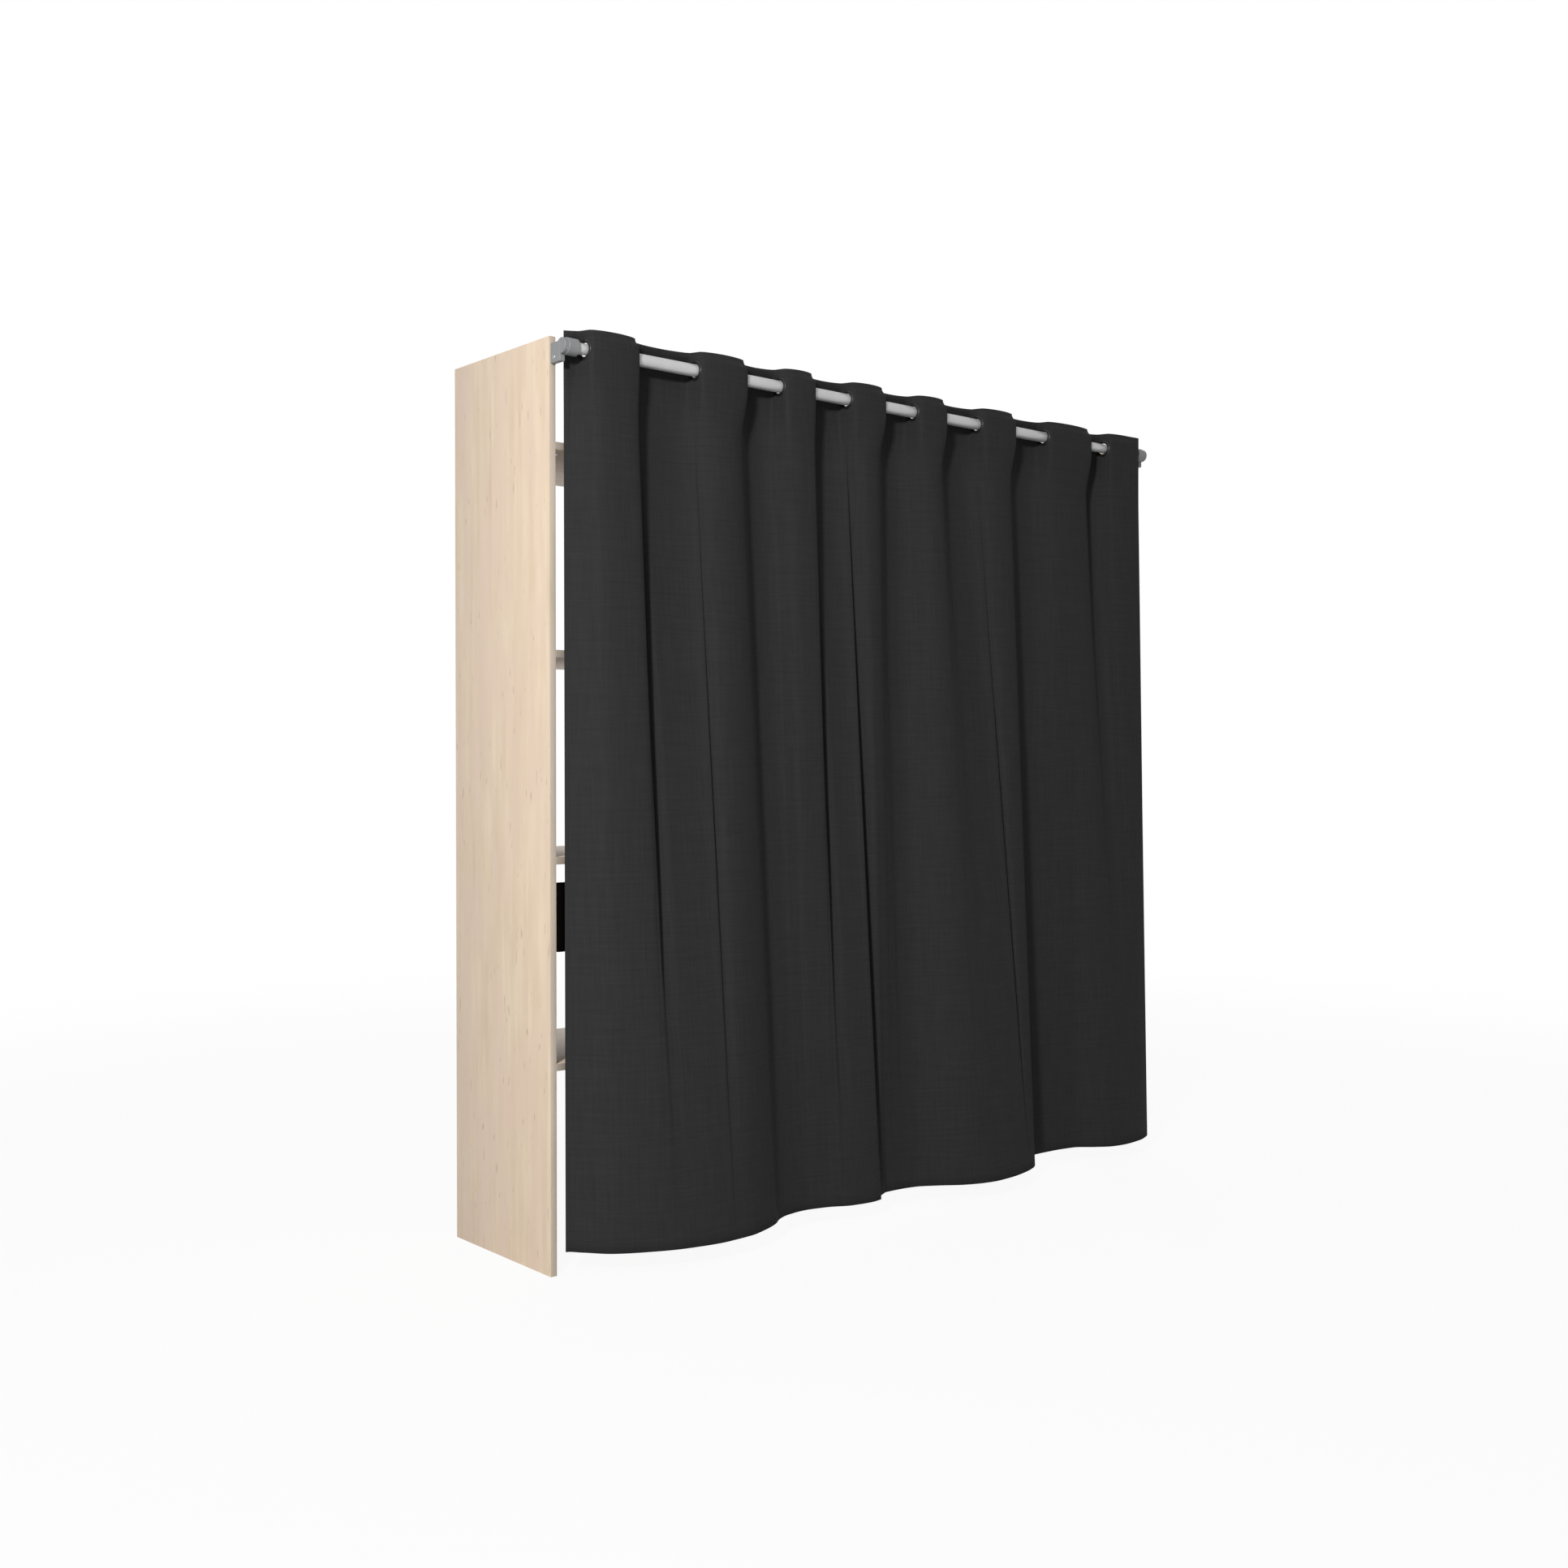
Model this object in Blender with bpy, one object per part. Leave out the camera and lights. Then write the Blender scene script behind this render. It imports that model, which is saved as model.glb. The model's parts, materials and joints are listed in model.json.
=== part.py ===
# Curtain wardrobe: two shelf columns joined by hanging rails, with a curtain on a rod in front.
# Metres, +Z up. The front faces -Y and the viewer's left is -X.

from math import cos, pi, radians, sin

import bmesh
import bpy
from mathutils import Matrix, Vector

# Carcass
width = 2.000
depth = 0.406
height = 2.030
board = 0.016
seat_gap = 0.0003  # left between pieces that touch
overrun = 0.002  # how far a cutter passes the face it cuts

# Shelf columns
column_width = 0.450  # clear width between a side panel and its inner panel
lowest_shelf = 0.461  # height of its top face
top_bay = 0.225  # from the highest shelf's top face to the panels' top
shelf_count = 4

# Drawer under one of the left column's shelves
drawer_shelf = 2
finger_gap = 0.040
drawer_front_height = 0.150
drawer_front_gap = 0.003
drawer_board = 0.012
drawer_box_height = 0.100
drawer_box_length = 0.350
drawer_box_lift = 0.015  # box above the front's lower edge
drawer_bottom = 0.004
groove_depth = 0.005
groove_height = 0.010  # the groove's lower face above the box's lower edge

# Drawer runners
runner_space = 0.0127
runner_wall = 0.0012
runner_height = 0.035
runner_lip = 0.0092
runner_setback = 0.002  # behind the drawer's front board

# Curtain rod and its brackets
rod_offset = 0.040  # axis in front of the carcass
rod_drop = 0.0273  # axis below the panels' top
rod_radius = 0.014
tube_wall = 0.0012
rod_end_length = 0.140  # from the carcass's side to the middle tube, on the left
rod_right_length = 0.320  # and on the right
rod_insert = 0.180  # of an end tube inside the middle tube
bracket_inset = 0.003  # of the arm's outer face from the carcass's side
arm_rise = 0.0115  # top above the rod's axis
arm_drop = 0.032  # underside below it
arm_reach = 0.037  # in front of the carcass
boss_wall = 0.0042
boss_lip = 0.0005  # step between the arm's outer face and the boss
collar_wall = 0.0057
collar_length = 0.026
socket_floor = 0.004

# Cam and bolt that hold each bracket's arm to its panel
cam_drop = 0.0205  # cam's axis below the rod's axis
cam_reach = 0.0135  # and in front of the carcass
cam_radius = 0.0045
cam_depth = 0.009
cam_proud = 0.0008
bolt_radius = 0.0025
bolt_grip = 0.022  # length in the panel

# Hanging rails
rail_radius = 0.0125
upper_rail_drop = 0.110
lower_rail_height = 0.960
rail_outer_share = 0.62  # of the bay that the outer tube spans
rail_insert = 0.150
flange_thickness = 0.003
flange_rim = 0.0125  # round the cup
cup_wall = 0.003
cup_length = 0.014

# Curtain
cloth = 0.002
header_rise = 0.0415  # top edge above the rod's axis
hem_height = 0.052
header_height = 0.092  # the band that hangs straight at the eyelets
hem_reach = 0.204  # how far the fullest fold stands in front of the carcass
left_margin = 0.030  # from the carcass's side to the curtain's edge
right_margin = 0.043
edge_reach = 0.010  # of the two tails behind the rod
crossing_margin = 0.002  # of flat cloth past each eyelet's flange
crossing_tilt = radians(5)
wave_bulge = 0.005  # how far a wave swells past its eyelets' stretches
crossing_shares = (
    0.018, 0.085, 0.173, 0.244, 0.303, 0.353, 0.416, 0.474,
    0.534, 0.587, 0.657, 0.724, 0.795, 0.887, 0.928, 0.995,
)
# Places along the hem, each with its reach as a share of hem_reach
hem_shares = (
    (0.000, 0.06), (0.014, 0.20), (0.035, 0.43), (0.070, 0.63), (0.115, 0.80), (0.165, 0.88),
    (0.205, 0.86), (0.250, 0.72), (0.275, 0.58), (0.310, 0.475), (0.350, 0.53), (0.380, 0.665),
    (0.412, 0.70), (0.450, 0.56), (0.480, 0.52), (0.515, 0.56), (0.545, 0.87), (0.575, 0.97),
    (0.600, 1.00), (0.630, 1.00), (0.700, 0.84), (0.735, 0.60), (0.768, 0.415), (0.800, 0.39),
    (0.840, 0.50), (0.865, 0.69), (0.905, 0.78), (0.955, 0.71), (1.000, 0.44),
)
row_shares = (0.0, 0.38, 0.71, 1.0)  # rows of the sheet between the header and the hem
run_shares = (0.3, 0.7)  # extra places between two eyelets

# Eyelets
eyelet_clearance = 0.0025  # round the rod
barrel_wall = 0.0015
flange_reach = 0.005
flange_plate = 0.0015

round_sides = 24
eyelet_sides = 12

# Places that follow from the sizes above
side = width / 2
front = (hem_reach - depth) / 2
back = front + depth
rod_y = front - rod_offset
rod_z = height - rod_drop
rod_end_radius = rod_radius - tube_wall - seat_gap
bore_radius = rod_end_radius + seat_gap
rod_end_side = side - bracket_inset - socket_floor - seat_gap
flange_radius = rail_radius + seat_gap + cup_wall + flange_rim
shelf_pitch = (height - top_bay - lowest_shelf) / (shelf_count - 1)
bay_side = side - 2 * board - column_width
curtain_left = -side + left_margin
curtain_width = width - left_margin - right_margin
curtain_top = rod_z + header_rise
eyelet_radius = rod_radius + eyelet_clearance
barrel_radius = eyelet_radius + barrel_wall
rim_radius = barrel_radius + flange_reach
crossing_half = rim_radius + crossing_margin
eyelet_drop = eyelet_radius * cos(pi / eyelet_sides) - rod_radius - seat_gap
hole_radius = (barrel_radius + seat_gap) / cos(pi / eyelet_sides)


def clear_scene():
    for obj in list(bpy.data.objects):
        bpy.data.objects.remove(obj, do_unlink=True)


def make_material(name, colour, roughness, metallic=0.0):
    made = bpy.data.materials.new(name)
    made.use_nodes = True
    shader = made.node_tree.nodes["Principled BSDF"]
    shader.inputs["Base Color"].default_value = (*colour, 1.0)
    shader.inputs["Roughness"].default_value = roughness
    shader.inputs["Metallic"].default_value = metallic
    return made


def add_object(name, shape, place, material, smooth=False):
    bmesh.ops.recalc_face_normals(shape, faces=shape.faces)
    mesh = bpy.data.meshes.new(name)
    shape.to_mesh(mesh)
    shape.free()
    if smooth:
        mesh.shade_smooth()
        mesh.set_sharp_from_angle(angle=radians(40))
    obj = bpy.data.objects.new(name, mesh)
    obj.location = place
    mesh.materials.append(material)
    bpy.context.scene.collection.objects.link(obj)
    return obj


def box(name, low, high, material):
    low, high = Vector(low), Vector(high)
    shape = bmesh.new()
    bmesh.ops.create_cube(shape, size=1)
    bmesh.ops.scale(shape, vec=high - low, verts=shape.verts)
    return add_object(name, shape, (low + high) / 2, material)


# A flat outline, given as points of two axes, pushed along the third from start to end
def prism(name, outline, axis, start, end, material, smooth=False):
    shape = bmesh.new()
    rings = []
    for level in (start, end):
        ring = []
        for first, second in outline:
            place = [first, second]
            place.insert(axis, level)
            ring.append(shape.verts.new(place))
        rings.append(ring)
    shape.faces.new(rings[0])
    shape.faces.new(rings[1])
    for index in range(len(outline)):
        after = (index + 1) % len(outline)
        shape.faces.new((rings[0][index], rings[0][after], rings[1][after], rings[1][index]))
    return add_object(name, shape, (0, 0, 0), material, smooth)


# A closed profile of (along, radius) points turned about the X axis through place
def turned(name, profile, place, sides, material, turn=0.0):
    shape = bmesh.new()
    rings = []
    for step in range(sides):
        angle = 2 * pi * step / sides
        ring = [shape.verts.new((x, r * sin(angle), r * cos(angle))) for x, r in profile]
        rings.append(ring)
    for step in range(sides):
        ring, after = rings[step], rings[(step + 1) % sides]
        for index in range(len(profile)):
            close = (index + 1) % len(profile)
            shape.faces.new((ring[index], ring[close], after[close], after[index]))
    obj = add_object(name, shape, place, material, smooth=True)
    obj.rotation_euler = (0, 0, turn)
    return obj


def tube(name, start, end, y, z, radius, material):
    inner = radius - tube_wall
    half = (end - start) / 2
    profile = ((-half, inner), (half, inner), (half, radius), (-half, radius))
    return turned(name, profile, (start + half, y, z), round_sides, material)


# A solid cylinder along axis 0 or 1, used for bores, pins and unions
def cylinder(name, axis, start, end, across, z, radius, sides, material):
    outline = []
    for step in range(sides):
        angle = 2 * pi * step / sides
        outline.append((across + radius * sin(angle), z + radius * cos(angle)))
    return prism(name, outline, axis, start, end, material, smooth=True)


def hide_tool(obj):
    obj.hide_render = True
    obj.display_type = "WIRE"


def combine(obj, tool, operation):
    hide_tool(tool)
    modifier = obj.modifiers.new(tool.name, "BOOLEAN")
    modifier.operation = operation
    modifier.object = tool


def carry(parent, pieces):
    for obj in pieces:
        obj.parent = parent
        obj.matrix_parent_inverse = Matrix.Translation(-parent.location)


# Panels and shelves

def make_panels(oak):
    panels = {}
    for name, sign in (("left", -1), ("right", 1)):
        for kind, outer in (("side", side), ("inner", bay_side + board)):
            faces = sorted((sign * outer, sign * (outer - board)))
            low, high = (faces[0], front, 0), (faces[1], back, height)
            panels[f"{name}_{kind}_panel"] = box(f"{name}_{kind}_panel", low, high, oak)
    return panels


def shelf_top(number):
    return lowest_shelf + (number - 1) * shelf_pitch


def make_shelves(oak):
    inside, outside = bay_side + board + seat_gap, side - board - seat_gap
    for name, sign in (("left", -1), ("right", 1)):
        ends = sorted((sign * inside, sign * outside))
        for number in range(1, shelf_count + 1):
            top = shelf_top(number)
            low, high = (ends[0], front, top - board), (ends[1], back, top)
            box(f"{name}_shelf_{number}", low, high, oak)


# Drawer, which slides towards the front

def make_runner(side_name, sign, wall_x, middle_z, start, metal):
    half = runner_height / 2
    web = wall_x + sign * seat_gap
    lip = web + sign * runner_lip
    thick = sign * runner_wall
    fixed = (
        (web, middle_z - half), (lip, middle_z - half), (lip, middle_z - half + runner_wall),
        (web + thick, middle_z - half + runner_wall), (web + thick, middle_z + half - runner_wall),
        (lip, middle_z + half - runner_wall), (lip, middle_z + half), (web, middle_z + half),
    )
    end = start + drawer_box_length
    prism(f"drawer_runner_fixed_{side_name}", fixed, 1, start, end, metal)
    half -= runner_wall + seat_gap
    web = wall_x + sign * (runner_space - seat_gap)
    lip = web - sign * runner_lip
    moving = (
        (web, middle_z - half), (lip, middle_z - half), (lip, middle_z - half + runner_wall),
        (web - thick, middle_z - half + runner_wall), (web - thick, middle_z + half - runner_wall),
        (lip, middle_z + half - runner_wall), (lip, middle_z + half), (web, middle_z + half),
    )
    return prism(f"drawer_runner_moving_{side_name}", moving, 1, start, end, metal)


def make_drawer_side(side_name, sign, outer_x, start, base_z, finish):
    inner_x = outer_x + sign * drawer_board
    groove_x = inner_x - sign * groove_depth
    groove_low = base_z + groove_height
    groove_high = groove_low + drawer_bottom + 2 * seat_gap
    top = base_z + drawer_box_height
    outline = (
        (outer_x, base_z), (inner_x, base_z), (inner_x, groove_low), (groove_x, groove_low),
        (groove_x, groove_high), (inner_x, groove_high), (inner_x, top), (outer_x, top),
    )
    end = start + drawer_box_length
    return prism(f"drawer_side_{side_name}", outline, 1, start, end, finish)


def make_drawer(black, metal):
    left, right = -side + board, -bay_side - board
    top = shelf_top(drawer_shelf) - board - finger_gap
    low = top - drawer_front_height
    base_z = low + drawer_box_lift
    start = front + board + seat_gap
    end = start + drawer_box_length
    origin = bpy.data.objects.new("drawer_slide_axis", None)
    origin.location = ((left + right) / 2, front, (top + low) / 2)
    bpy.context.scene.collection.objects.link(origin)
    pieces = [box(
        "drawer_front",
        (left + drawer_front_gap, front, low),
        (right - drawer_front_gap, front + board, top),
        black,
    )]
    middle_z = base_z + drawer_box_height / 2
    for name, sign, wall in (("left", 1, left), ("right", -1, right)):
        runner_start = front + board + runner_setback
        pieces.append(make_runner(name, sign, wall, middle_z, runner_start, metal))
        outer_x = wall + sign * runner_space
        pieces.append(make_drawer_side(name, sign, outer_x, start, base_z, black))
    inner = runner_space + drawer_board
    bottom_z = base_z + groove_height + seat_gap
    reach = inner - groove_depth + seat_gap
    pieces.append(box(
        "drawer_bottom",
        (left + reach, start, bottom_z),
        (right - reach, end, bottom_z + drawer_bottom),
        black,
    ))
    pieces.append(box(
        "drawer_back",
        (left + inner + seat_gap, end - drawer_board, bottom_z + drawer_bottom + seat_gap),
        (right - inner - seat_gap, end, base_z + drawer_box_height),
        black,
    ))
    carry(origin, pieces)


# Curtain rod: a middle tube with a thinner tube sliding in each end

def make_rod(metal):
    middle_left, middle_right = -side + rod_end_length, side - rod_right_length
    tube("curtain_rod_middle_tube", middle_left, middle_right, rod_y, rod_z, rod_radius, metal)
    ends = (
        ("curtain_rod_left_tube", -rod_end_side, middle_left + rod_insert),
        ("curtain_rod_right_tube", middle_right - rod_insert, rod_end_side),
    )
    for name, start, end in ends:
        tube(name, start, end, rod_y, rod_z, rod_end_radius, metal)


# Bracket: an arm on the panel's front edge, with a collar for the rod and a cam on a bolt

def make_bracket(name, sign, panel, grey, metal):
    outer, inner = sign * (side - bracket_inset), sign * (side - board)
    mouth = inner - sign * collar_length
    bottom, top = rod_z - arm_drop, rod_z + arm_rise
    low = (min(outer, inner), front - arm_reach, bottom)
    high = (max(outer, inner), front - seat_gap, top)
    bracket = box(f"{name}_rod_bracket", low, high, grey)
    cam_y, cam_z = front - cam_reach, rod_z - cam_drop
    boss_end, collar_start = inner - sign * boss_lip, inner + sign * overrun
    cam_end = outer - sign * cam_depth
    tools = (
        ("boss", outer - sign * boss_lip, boss_end, rod_y, rod_z, bore_radius + boss_wall, "UNION"),
        ("collar", collar_start, mouth, rod_y, rod_z, bore_radius + collar_wall, "UNION"),
        ("bore", outer - sign * socket_floor, mouth - sign * overrun, rod_y, rod_z, bore_radius,
         "DIFFERENCE"),
        ("cam_bore", outer + sign * overrun, cam_end - sign * seat_gap, cam_y, cam_z,
         cam_radius + seat_gap, "DIFFERENCE"),
    )
    for kind, start, end, y, z, radius, operation in tools:
        tool = cylinder(f"{name}_{kind}_tool", 0, start, end, y, z, radius, round_sides, grey)
        combine(bracket, tool, operation)
    cylinder(
        f"{name}_bracket_cam", 0, outer + sign * cam_proud, cam_end, cam_y, cam_z, cam_radius,
        round_sides, metal,
    )
    bolt_x, bolt_start, bolt_end = (outer + inner) / 2, cam_y + cam_radius + seat_gap, front + bolt_grip
    bolt_hole = cylinder(
        f"{name}_bolt_hole_tool", 1, cam_y, bolt_end + seat_gap, bolt_x, cam_z,
        bolt_radius + seat_gap, eyelet_sides, metal,
    )
    combine(bracket, bolt_hole, "DIFFERENCE")
    combine(panel, bolt_hole, "DIFFERENCE")
    cylinder(
        f"{name}_bracket_bolt", 1, bolt_start, bolt_end, bolt_x, cam_z, bolt_radius, eyelet_sides,
        metal,
    )


# Hanging rail: two telescoping tubes between a pair of flanges

def make_flange(name, sign, z, radius, metal):
    base = sign * (bay_side - seat_gap)
    face, mouth = base - sign * flange_thickness, base - sign * cup_length
    bore = radius + seat_gap
    y = (front + back) / 2
    flange = cylinder(name, 0, base, face, y, z, flange_radius, round_sides, metal)
    cup = cylinder(
        f"{name}_cup_tool", 0, face + sign * flange_thickness / 2, mouth, y, z,
        bore + cup_wall, round_sides, metal,
    )
    hollow = cylinder(
        f"{name}_bore_tool", 0, face, mouth - sign * overrun, y, z, bore, round_sides, metal,
    )
    combine(flange, cup, "UNION")
    combine(flange, hollow, "DIFFERENCE")


def make_rail(level, z, metal):
    y = (front + back) / 2
    inner_radius = rail_radius - tube_wall - seat_gap
    make_flange(f"{level}_rail_left_flange", -1, z, rail_radius, metal)
    make_flange(f"{level}_rail_right_flange", 1, z, inner_radius, metal)
    floor = bay_side - flange_thickness - 2 * seat_gap
    outer_end = -floor + 2 * floor * rail_outer_share
    tube(f"{level}_rail_outer_tube", -floor, outer_end, y, z, rail_radius, metal)
    tube(f"{level}_rail_inner_tube", outer_end - rail_insert, floor, y, z, inner_radius, metal)


# Curtain: eyelets carry it on the rod, and its waves open into broad folds at the hem

def crossing_x(index):
    return curtain_left + curtain_width * crossing_shares[index]


# Odd crossings bring the cloth to the front and even ones take it back, the last one squarely
def crossing_angle(index):
    if index == len(crossing_shares) - 1:
        return 0.0
    return crossing_tilt if index % 2 == 0 else -crossing_tilt


def forward(index):
    return -1 if index % 2 == 0 else 1


# The header seen from above, as (x, y) places of the sheet's middle
def header_points():
    swell = crossing_half * cos(crossing_tilt) + wave_bulge
    points = [(curtain_left, front - edge_reach)]
    for index in range(len(crossing_shares)):
        x, turn = crossing_x(index), abs(crossing_angle(index))
        along, across = crossing_half * sin(turn), crossing_half * cos(turn) * forward(index)
        if index:
            start = points[-1][0]
            for share in run_shares:
                run_x = start + (x - along - start) * share
                points.append((run_x, rod_y - swell * forward(index)))
        points.append((x - along, rod_y - across))
        points.append((x + along, rod_y + across))
    points.append((curtain_left + curtain_width, front - edge_reach))
    return points


# A smooth curve through the hem's places, flat at each crest and hollow
def hem_share(at):
    last = len(hem_shares) - 1
    index = max(i for i in range(last) if hem_shares[i][0] <= at)

    def slope(i):
        if i in (0, last):
            return 0.0
        (x0, y0), (x1, y1), (x2, y2) = hem_shares[i - 1:i + 2]
        before, after = (y1 - y0) / (x1 - x0), (y2 - y1) / (x2 - x1)
        return 2 * before * after / (before + after) if before * after > 0 else 0.0

    (x0, y0), (x1, y1) = hem_shares[index], hem_shares[index + 1]
    span = x1 - x0
    t = (at - x0) / span
    return (
        y0 * (1 + 2 * t) * (1 - t) ** 2 + slope(index) * span * t * (1 - t) ** 2
        + y1 * t * t * (3 - 2 * t) - slope(index + 1) * span * t * t * (1 - t)
    )


# The header's threads fall evenly along the hem, so each wave opens on its way down
def hem_points(header):
    lengths = [0.0]
    for start, end in zip(header, header[1:]):
        lengths.append(lengths[-1] + (Vector(end) - Vector(start)).length)
    points = []
    for length in lengths:
        share = length / lengths[-1]
        reach = (hem_reach - cloth / 2) * hem_share(share)
        points.append((curtain_left + curtain_width * share, front - reach))
    return points


def make_eyelet_holes(cutter_material):
    shape = bmesh.new()
    for index in range(len(crossing_shares)):
        place = Vector((crossing_x(index), rod_y, rod_z - eyelet_drop))
        turn = Matrix.Rotation(crossing_angle(index), 4, "Z") @ Matrix.Rotation(pi / 2, 4, "Y")
        bmesh.ops.create_cone(
            shape, cap_ends=True, segments=eyelet_sides, radius1=hole_radius, radius2=hole_radius,
            depth=2 * cloth + 2 * overrun, matrix=Matrix.Translation(place) @ turn,
        )
    cutter = add_object("eyelet_holes_tool", shape, (0, 0, 0), cutter_material)
    hide_tool(cutter)
    return cutter


def make_curtain(fabric):
    header = header_points()
    hem = hem_points(header)
    header_base = curtain_top - header_height
    shape = bmesh.new()
    rows = [[shape.verts.new((x, y, curtain_top)) for x, y in header]]
    for share in row_shares:
        z = header_base + (hem_height - header_base) * share
        row = []
        for (x0, y0), (x1, y1) in zip(header, hem):
            row.append(shape.verts.new((x0 + (x1 - x0) * share, y0 + (y1 - y0) * share, z)))
        rows.append(row)
    for upper, lower in zip(rows, rows[1:]):
        for index in range(len(header) - 1):
            corners = (lower[index], lower[index + 1], upper[index + 1], upper[index])
            shape.faces.new(corners)
    curtain = add_object("curtain", shape, (0, 0, 0), fabric, smooth=True)
    thicken = curtain.modifiers.new("cloth", "SOLIDIFY")
    thicken.thickness = cloth
    thicken.offset = 0
    combine(curtain, make_eyelet_holes(fabric), "DIFFERENCE")


def make_eyelets(dark):
    inner = cloth / 2 + seat_gap
    outer = inner + flange_plate
    profile = (
        (-outer, eyelet_radius), (outer, eyelet_radius), (outer, rim_radius), (inner, rim_radius),
        (inner, barrel_radius), (-inner, barrel_radius), (-inner, rim_radius), (-outer, rim_radius),
    )
    for index in range(len(crossing_shares)):
        place = (crossing_x(index), rod_y, rod_z - eyelet_drop)
        turn = crossing_angle(index)
        turned(f"eyelet_{index + 1:02d}", profile, place, eyelet_sides, dark, turn)


def main():
    clear_scene()
    oak = make_material("oak_decor", (0.72, 0.58, 0.45), 0.55)
    black = make_material("black_board", (0.012, 0.011, 0.010), 0.5)
    zinc = make_material("zinc_steel", (0.55, 0.56, 0.58), 0.35, 1.0)
    rod_finish = make_material("rod_grey", (0.52, 0.52, 0.53), 0.4, 0.3)
    plastic = make_material("bracket_grey", (0.24, 0.24, 0.25), 0.5)
    fabric = make_material("charcoal_cloth", (0.032, 0.032, 0.034), 0.9)
    dark = make_material("eyelet_black", (0.02, 0.02, 0.022), 0.35, 0.5)
    panels = make_panels(oak)
    make_shelves(oak)
    make_drawer(black, zinc)
    make_rod(rod_finish)
    for name, sign in (("left", -1), ("right", 1)):
        make_bracket(name, sign, panels[f"{name}_side_panel"], plastic, zinc)
    make_rail("upper", height - upper_rail_drop, zinc)
    make_rail("lower", lower_rail_height, zinc)
    make_curtain(fabric)
    make_eyelets(dark)


main()
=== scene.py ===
import json
from bisect import bisect_right
from math import cos, pi, radians, sin

import bmesh
import bpy
from mathutils import Matrix, Vector

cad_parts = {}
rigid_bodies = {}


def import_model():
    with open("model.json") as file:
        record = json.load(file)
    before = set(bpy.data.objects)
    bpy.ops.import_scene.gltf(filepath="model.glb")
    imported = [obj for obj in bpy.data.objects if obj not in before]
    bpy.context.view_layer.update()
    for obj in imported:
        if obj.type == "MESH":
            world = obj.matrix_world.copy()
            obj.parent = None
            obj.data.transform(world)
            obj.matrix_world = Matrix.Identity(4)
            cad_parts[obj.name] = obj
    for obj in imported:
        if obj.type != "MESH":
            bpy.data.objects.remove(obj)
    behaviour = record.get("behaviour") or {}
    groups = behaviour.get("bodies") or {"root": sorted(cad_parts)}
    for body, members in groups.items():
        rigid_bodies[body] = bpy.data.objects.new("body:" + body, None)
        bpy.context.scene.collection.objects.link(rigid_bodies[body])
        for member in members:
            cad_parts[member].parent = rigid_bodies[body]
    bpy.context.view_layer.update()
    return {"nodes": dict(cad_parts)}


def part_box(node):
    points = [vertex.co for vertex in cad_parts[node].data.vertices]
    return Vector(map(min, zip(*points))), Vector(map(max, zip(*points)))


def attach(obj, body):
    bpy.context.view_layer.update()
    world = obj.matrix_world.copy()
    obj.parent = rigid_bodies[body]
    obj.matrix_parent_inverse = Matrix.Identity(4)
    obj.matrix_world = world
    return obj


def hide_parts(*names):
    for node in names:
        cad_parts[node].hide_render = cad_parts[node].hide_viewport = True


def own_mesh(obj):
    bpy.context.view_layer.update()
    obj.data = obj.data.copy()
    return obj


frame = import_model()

scene = bpy.context.scene


def remove(*objects):
    for obj in objects:
        bpy.data.objects.remove(obj)


remove(*[obj for obj in bpy.data.objects if obj.name in ("Cube", "Light", "Camera")])


def pick(sizes, names):
    return [sizes[name] for name in names.split()]


def addObject(name, data):
    obj = bpy.data.objects.new(name, data)
    scene.collection.objects.link(obj)
    return obj


# Camera, at the photograph's viewpoint
cameraSizes = {
    "place": (-2.9530, -3.1651, 1.1145),
    "yaw": 40.488,  # degrees to the right of the straight view
    "pitch": -0.751,
    "lens": 38.356,  # mm on a square 36 mm sensor
    "sensor": 36.0,
}


def makeCamera(sizes):
    data = bpy.data.cameras.new("photoCamera")
    data.lens = sizes["lens"]
    data.sensor_width = sizes["sensor"]
    camera = addObject("photoCamera", data)
    camera.location = sizes["place"]
    camera.rotation_euler = (radians(90 + sizes["pitch"]), 0, -radians(sizes["yaw"]))
    scene.camera = camera


makeCamera(cameraSizes)
print("camera set")


# Node helpers
def addNode(tree, kind, sockets=None, **settings):
    node = tree.nodes.new(kind)
    for label, value in settings.items():
        setattr(node, label, value)
    for label, value in (sockets or {}).items():
        socket = node.inputs[label]
        if isinstance(value, bpy.types.NodeSocket):
            tree.links.new(value, socket)
        else:
            socket.default_value = value
    return node


def nodeOut(tree, kind, sockets=None, **settings):
    return addNode(tree, kind, sockets, **settings).outputs[0]


def calculate(tree, operation, first, second=0.0, clamp=False):
    sockets = {0: first, 1: second}
    return nodeOut(tree, "ShaderNodeMath", sockets, operation=operation, use_clamp=clamp)


def times(tree, first, second):
    return calculate(tree, "MULTIPLY", first, second)


def plus(tree, first, second):
    return calculate(tree, "ADD", first, second)


def minus(tree, first, second):
    return calculate(tree, "SUBTRACT", first, second)


def mapRange(tree, value, low, high, toLow=0.0, toHigh=1.0):
    sockets = {0: value, 1: low, 2: high, 3: toLow, 4: toHigh}
    return nodeOut(tree, "ShaderNodeMapRange", sockets, interpolation_type="SMOOTHSTEP")


def blendColours(tree, share, first, second, how="MIX"):
    sockets = {0: share, 6: first, 7: second}
    return addNode(tree, "ShaderNodeMix", sockets, data_type="RGBA", blend_type=how).outputs[2]


def vectorMath(tree, operation, first, second):
    return nodeOut(tree, "ShaderNodeVectorMath", {0: first, 1: second}, operation=operation)


def noise(tree, vector, scale, detail=3.0, roughness=0.5):
    place = vectorMath(tree, "MULTIPLY", vector, scale)
    sockets = {"Vector": place, "Scale": 1.0, "Detail": detail, "Roughness": roughness}
    return nodeOut(tree, "ShaderNodeTexNoise", sockets)


surfaceOutputs = {"Color": "Color", "Roughness": "Float", "Height": "Float"}


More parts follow.
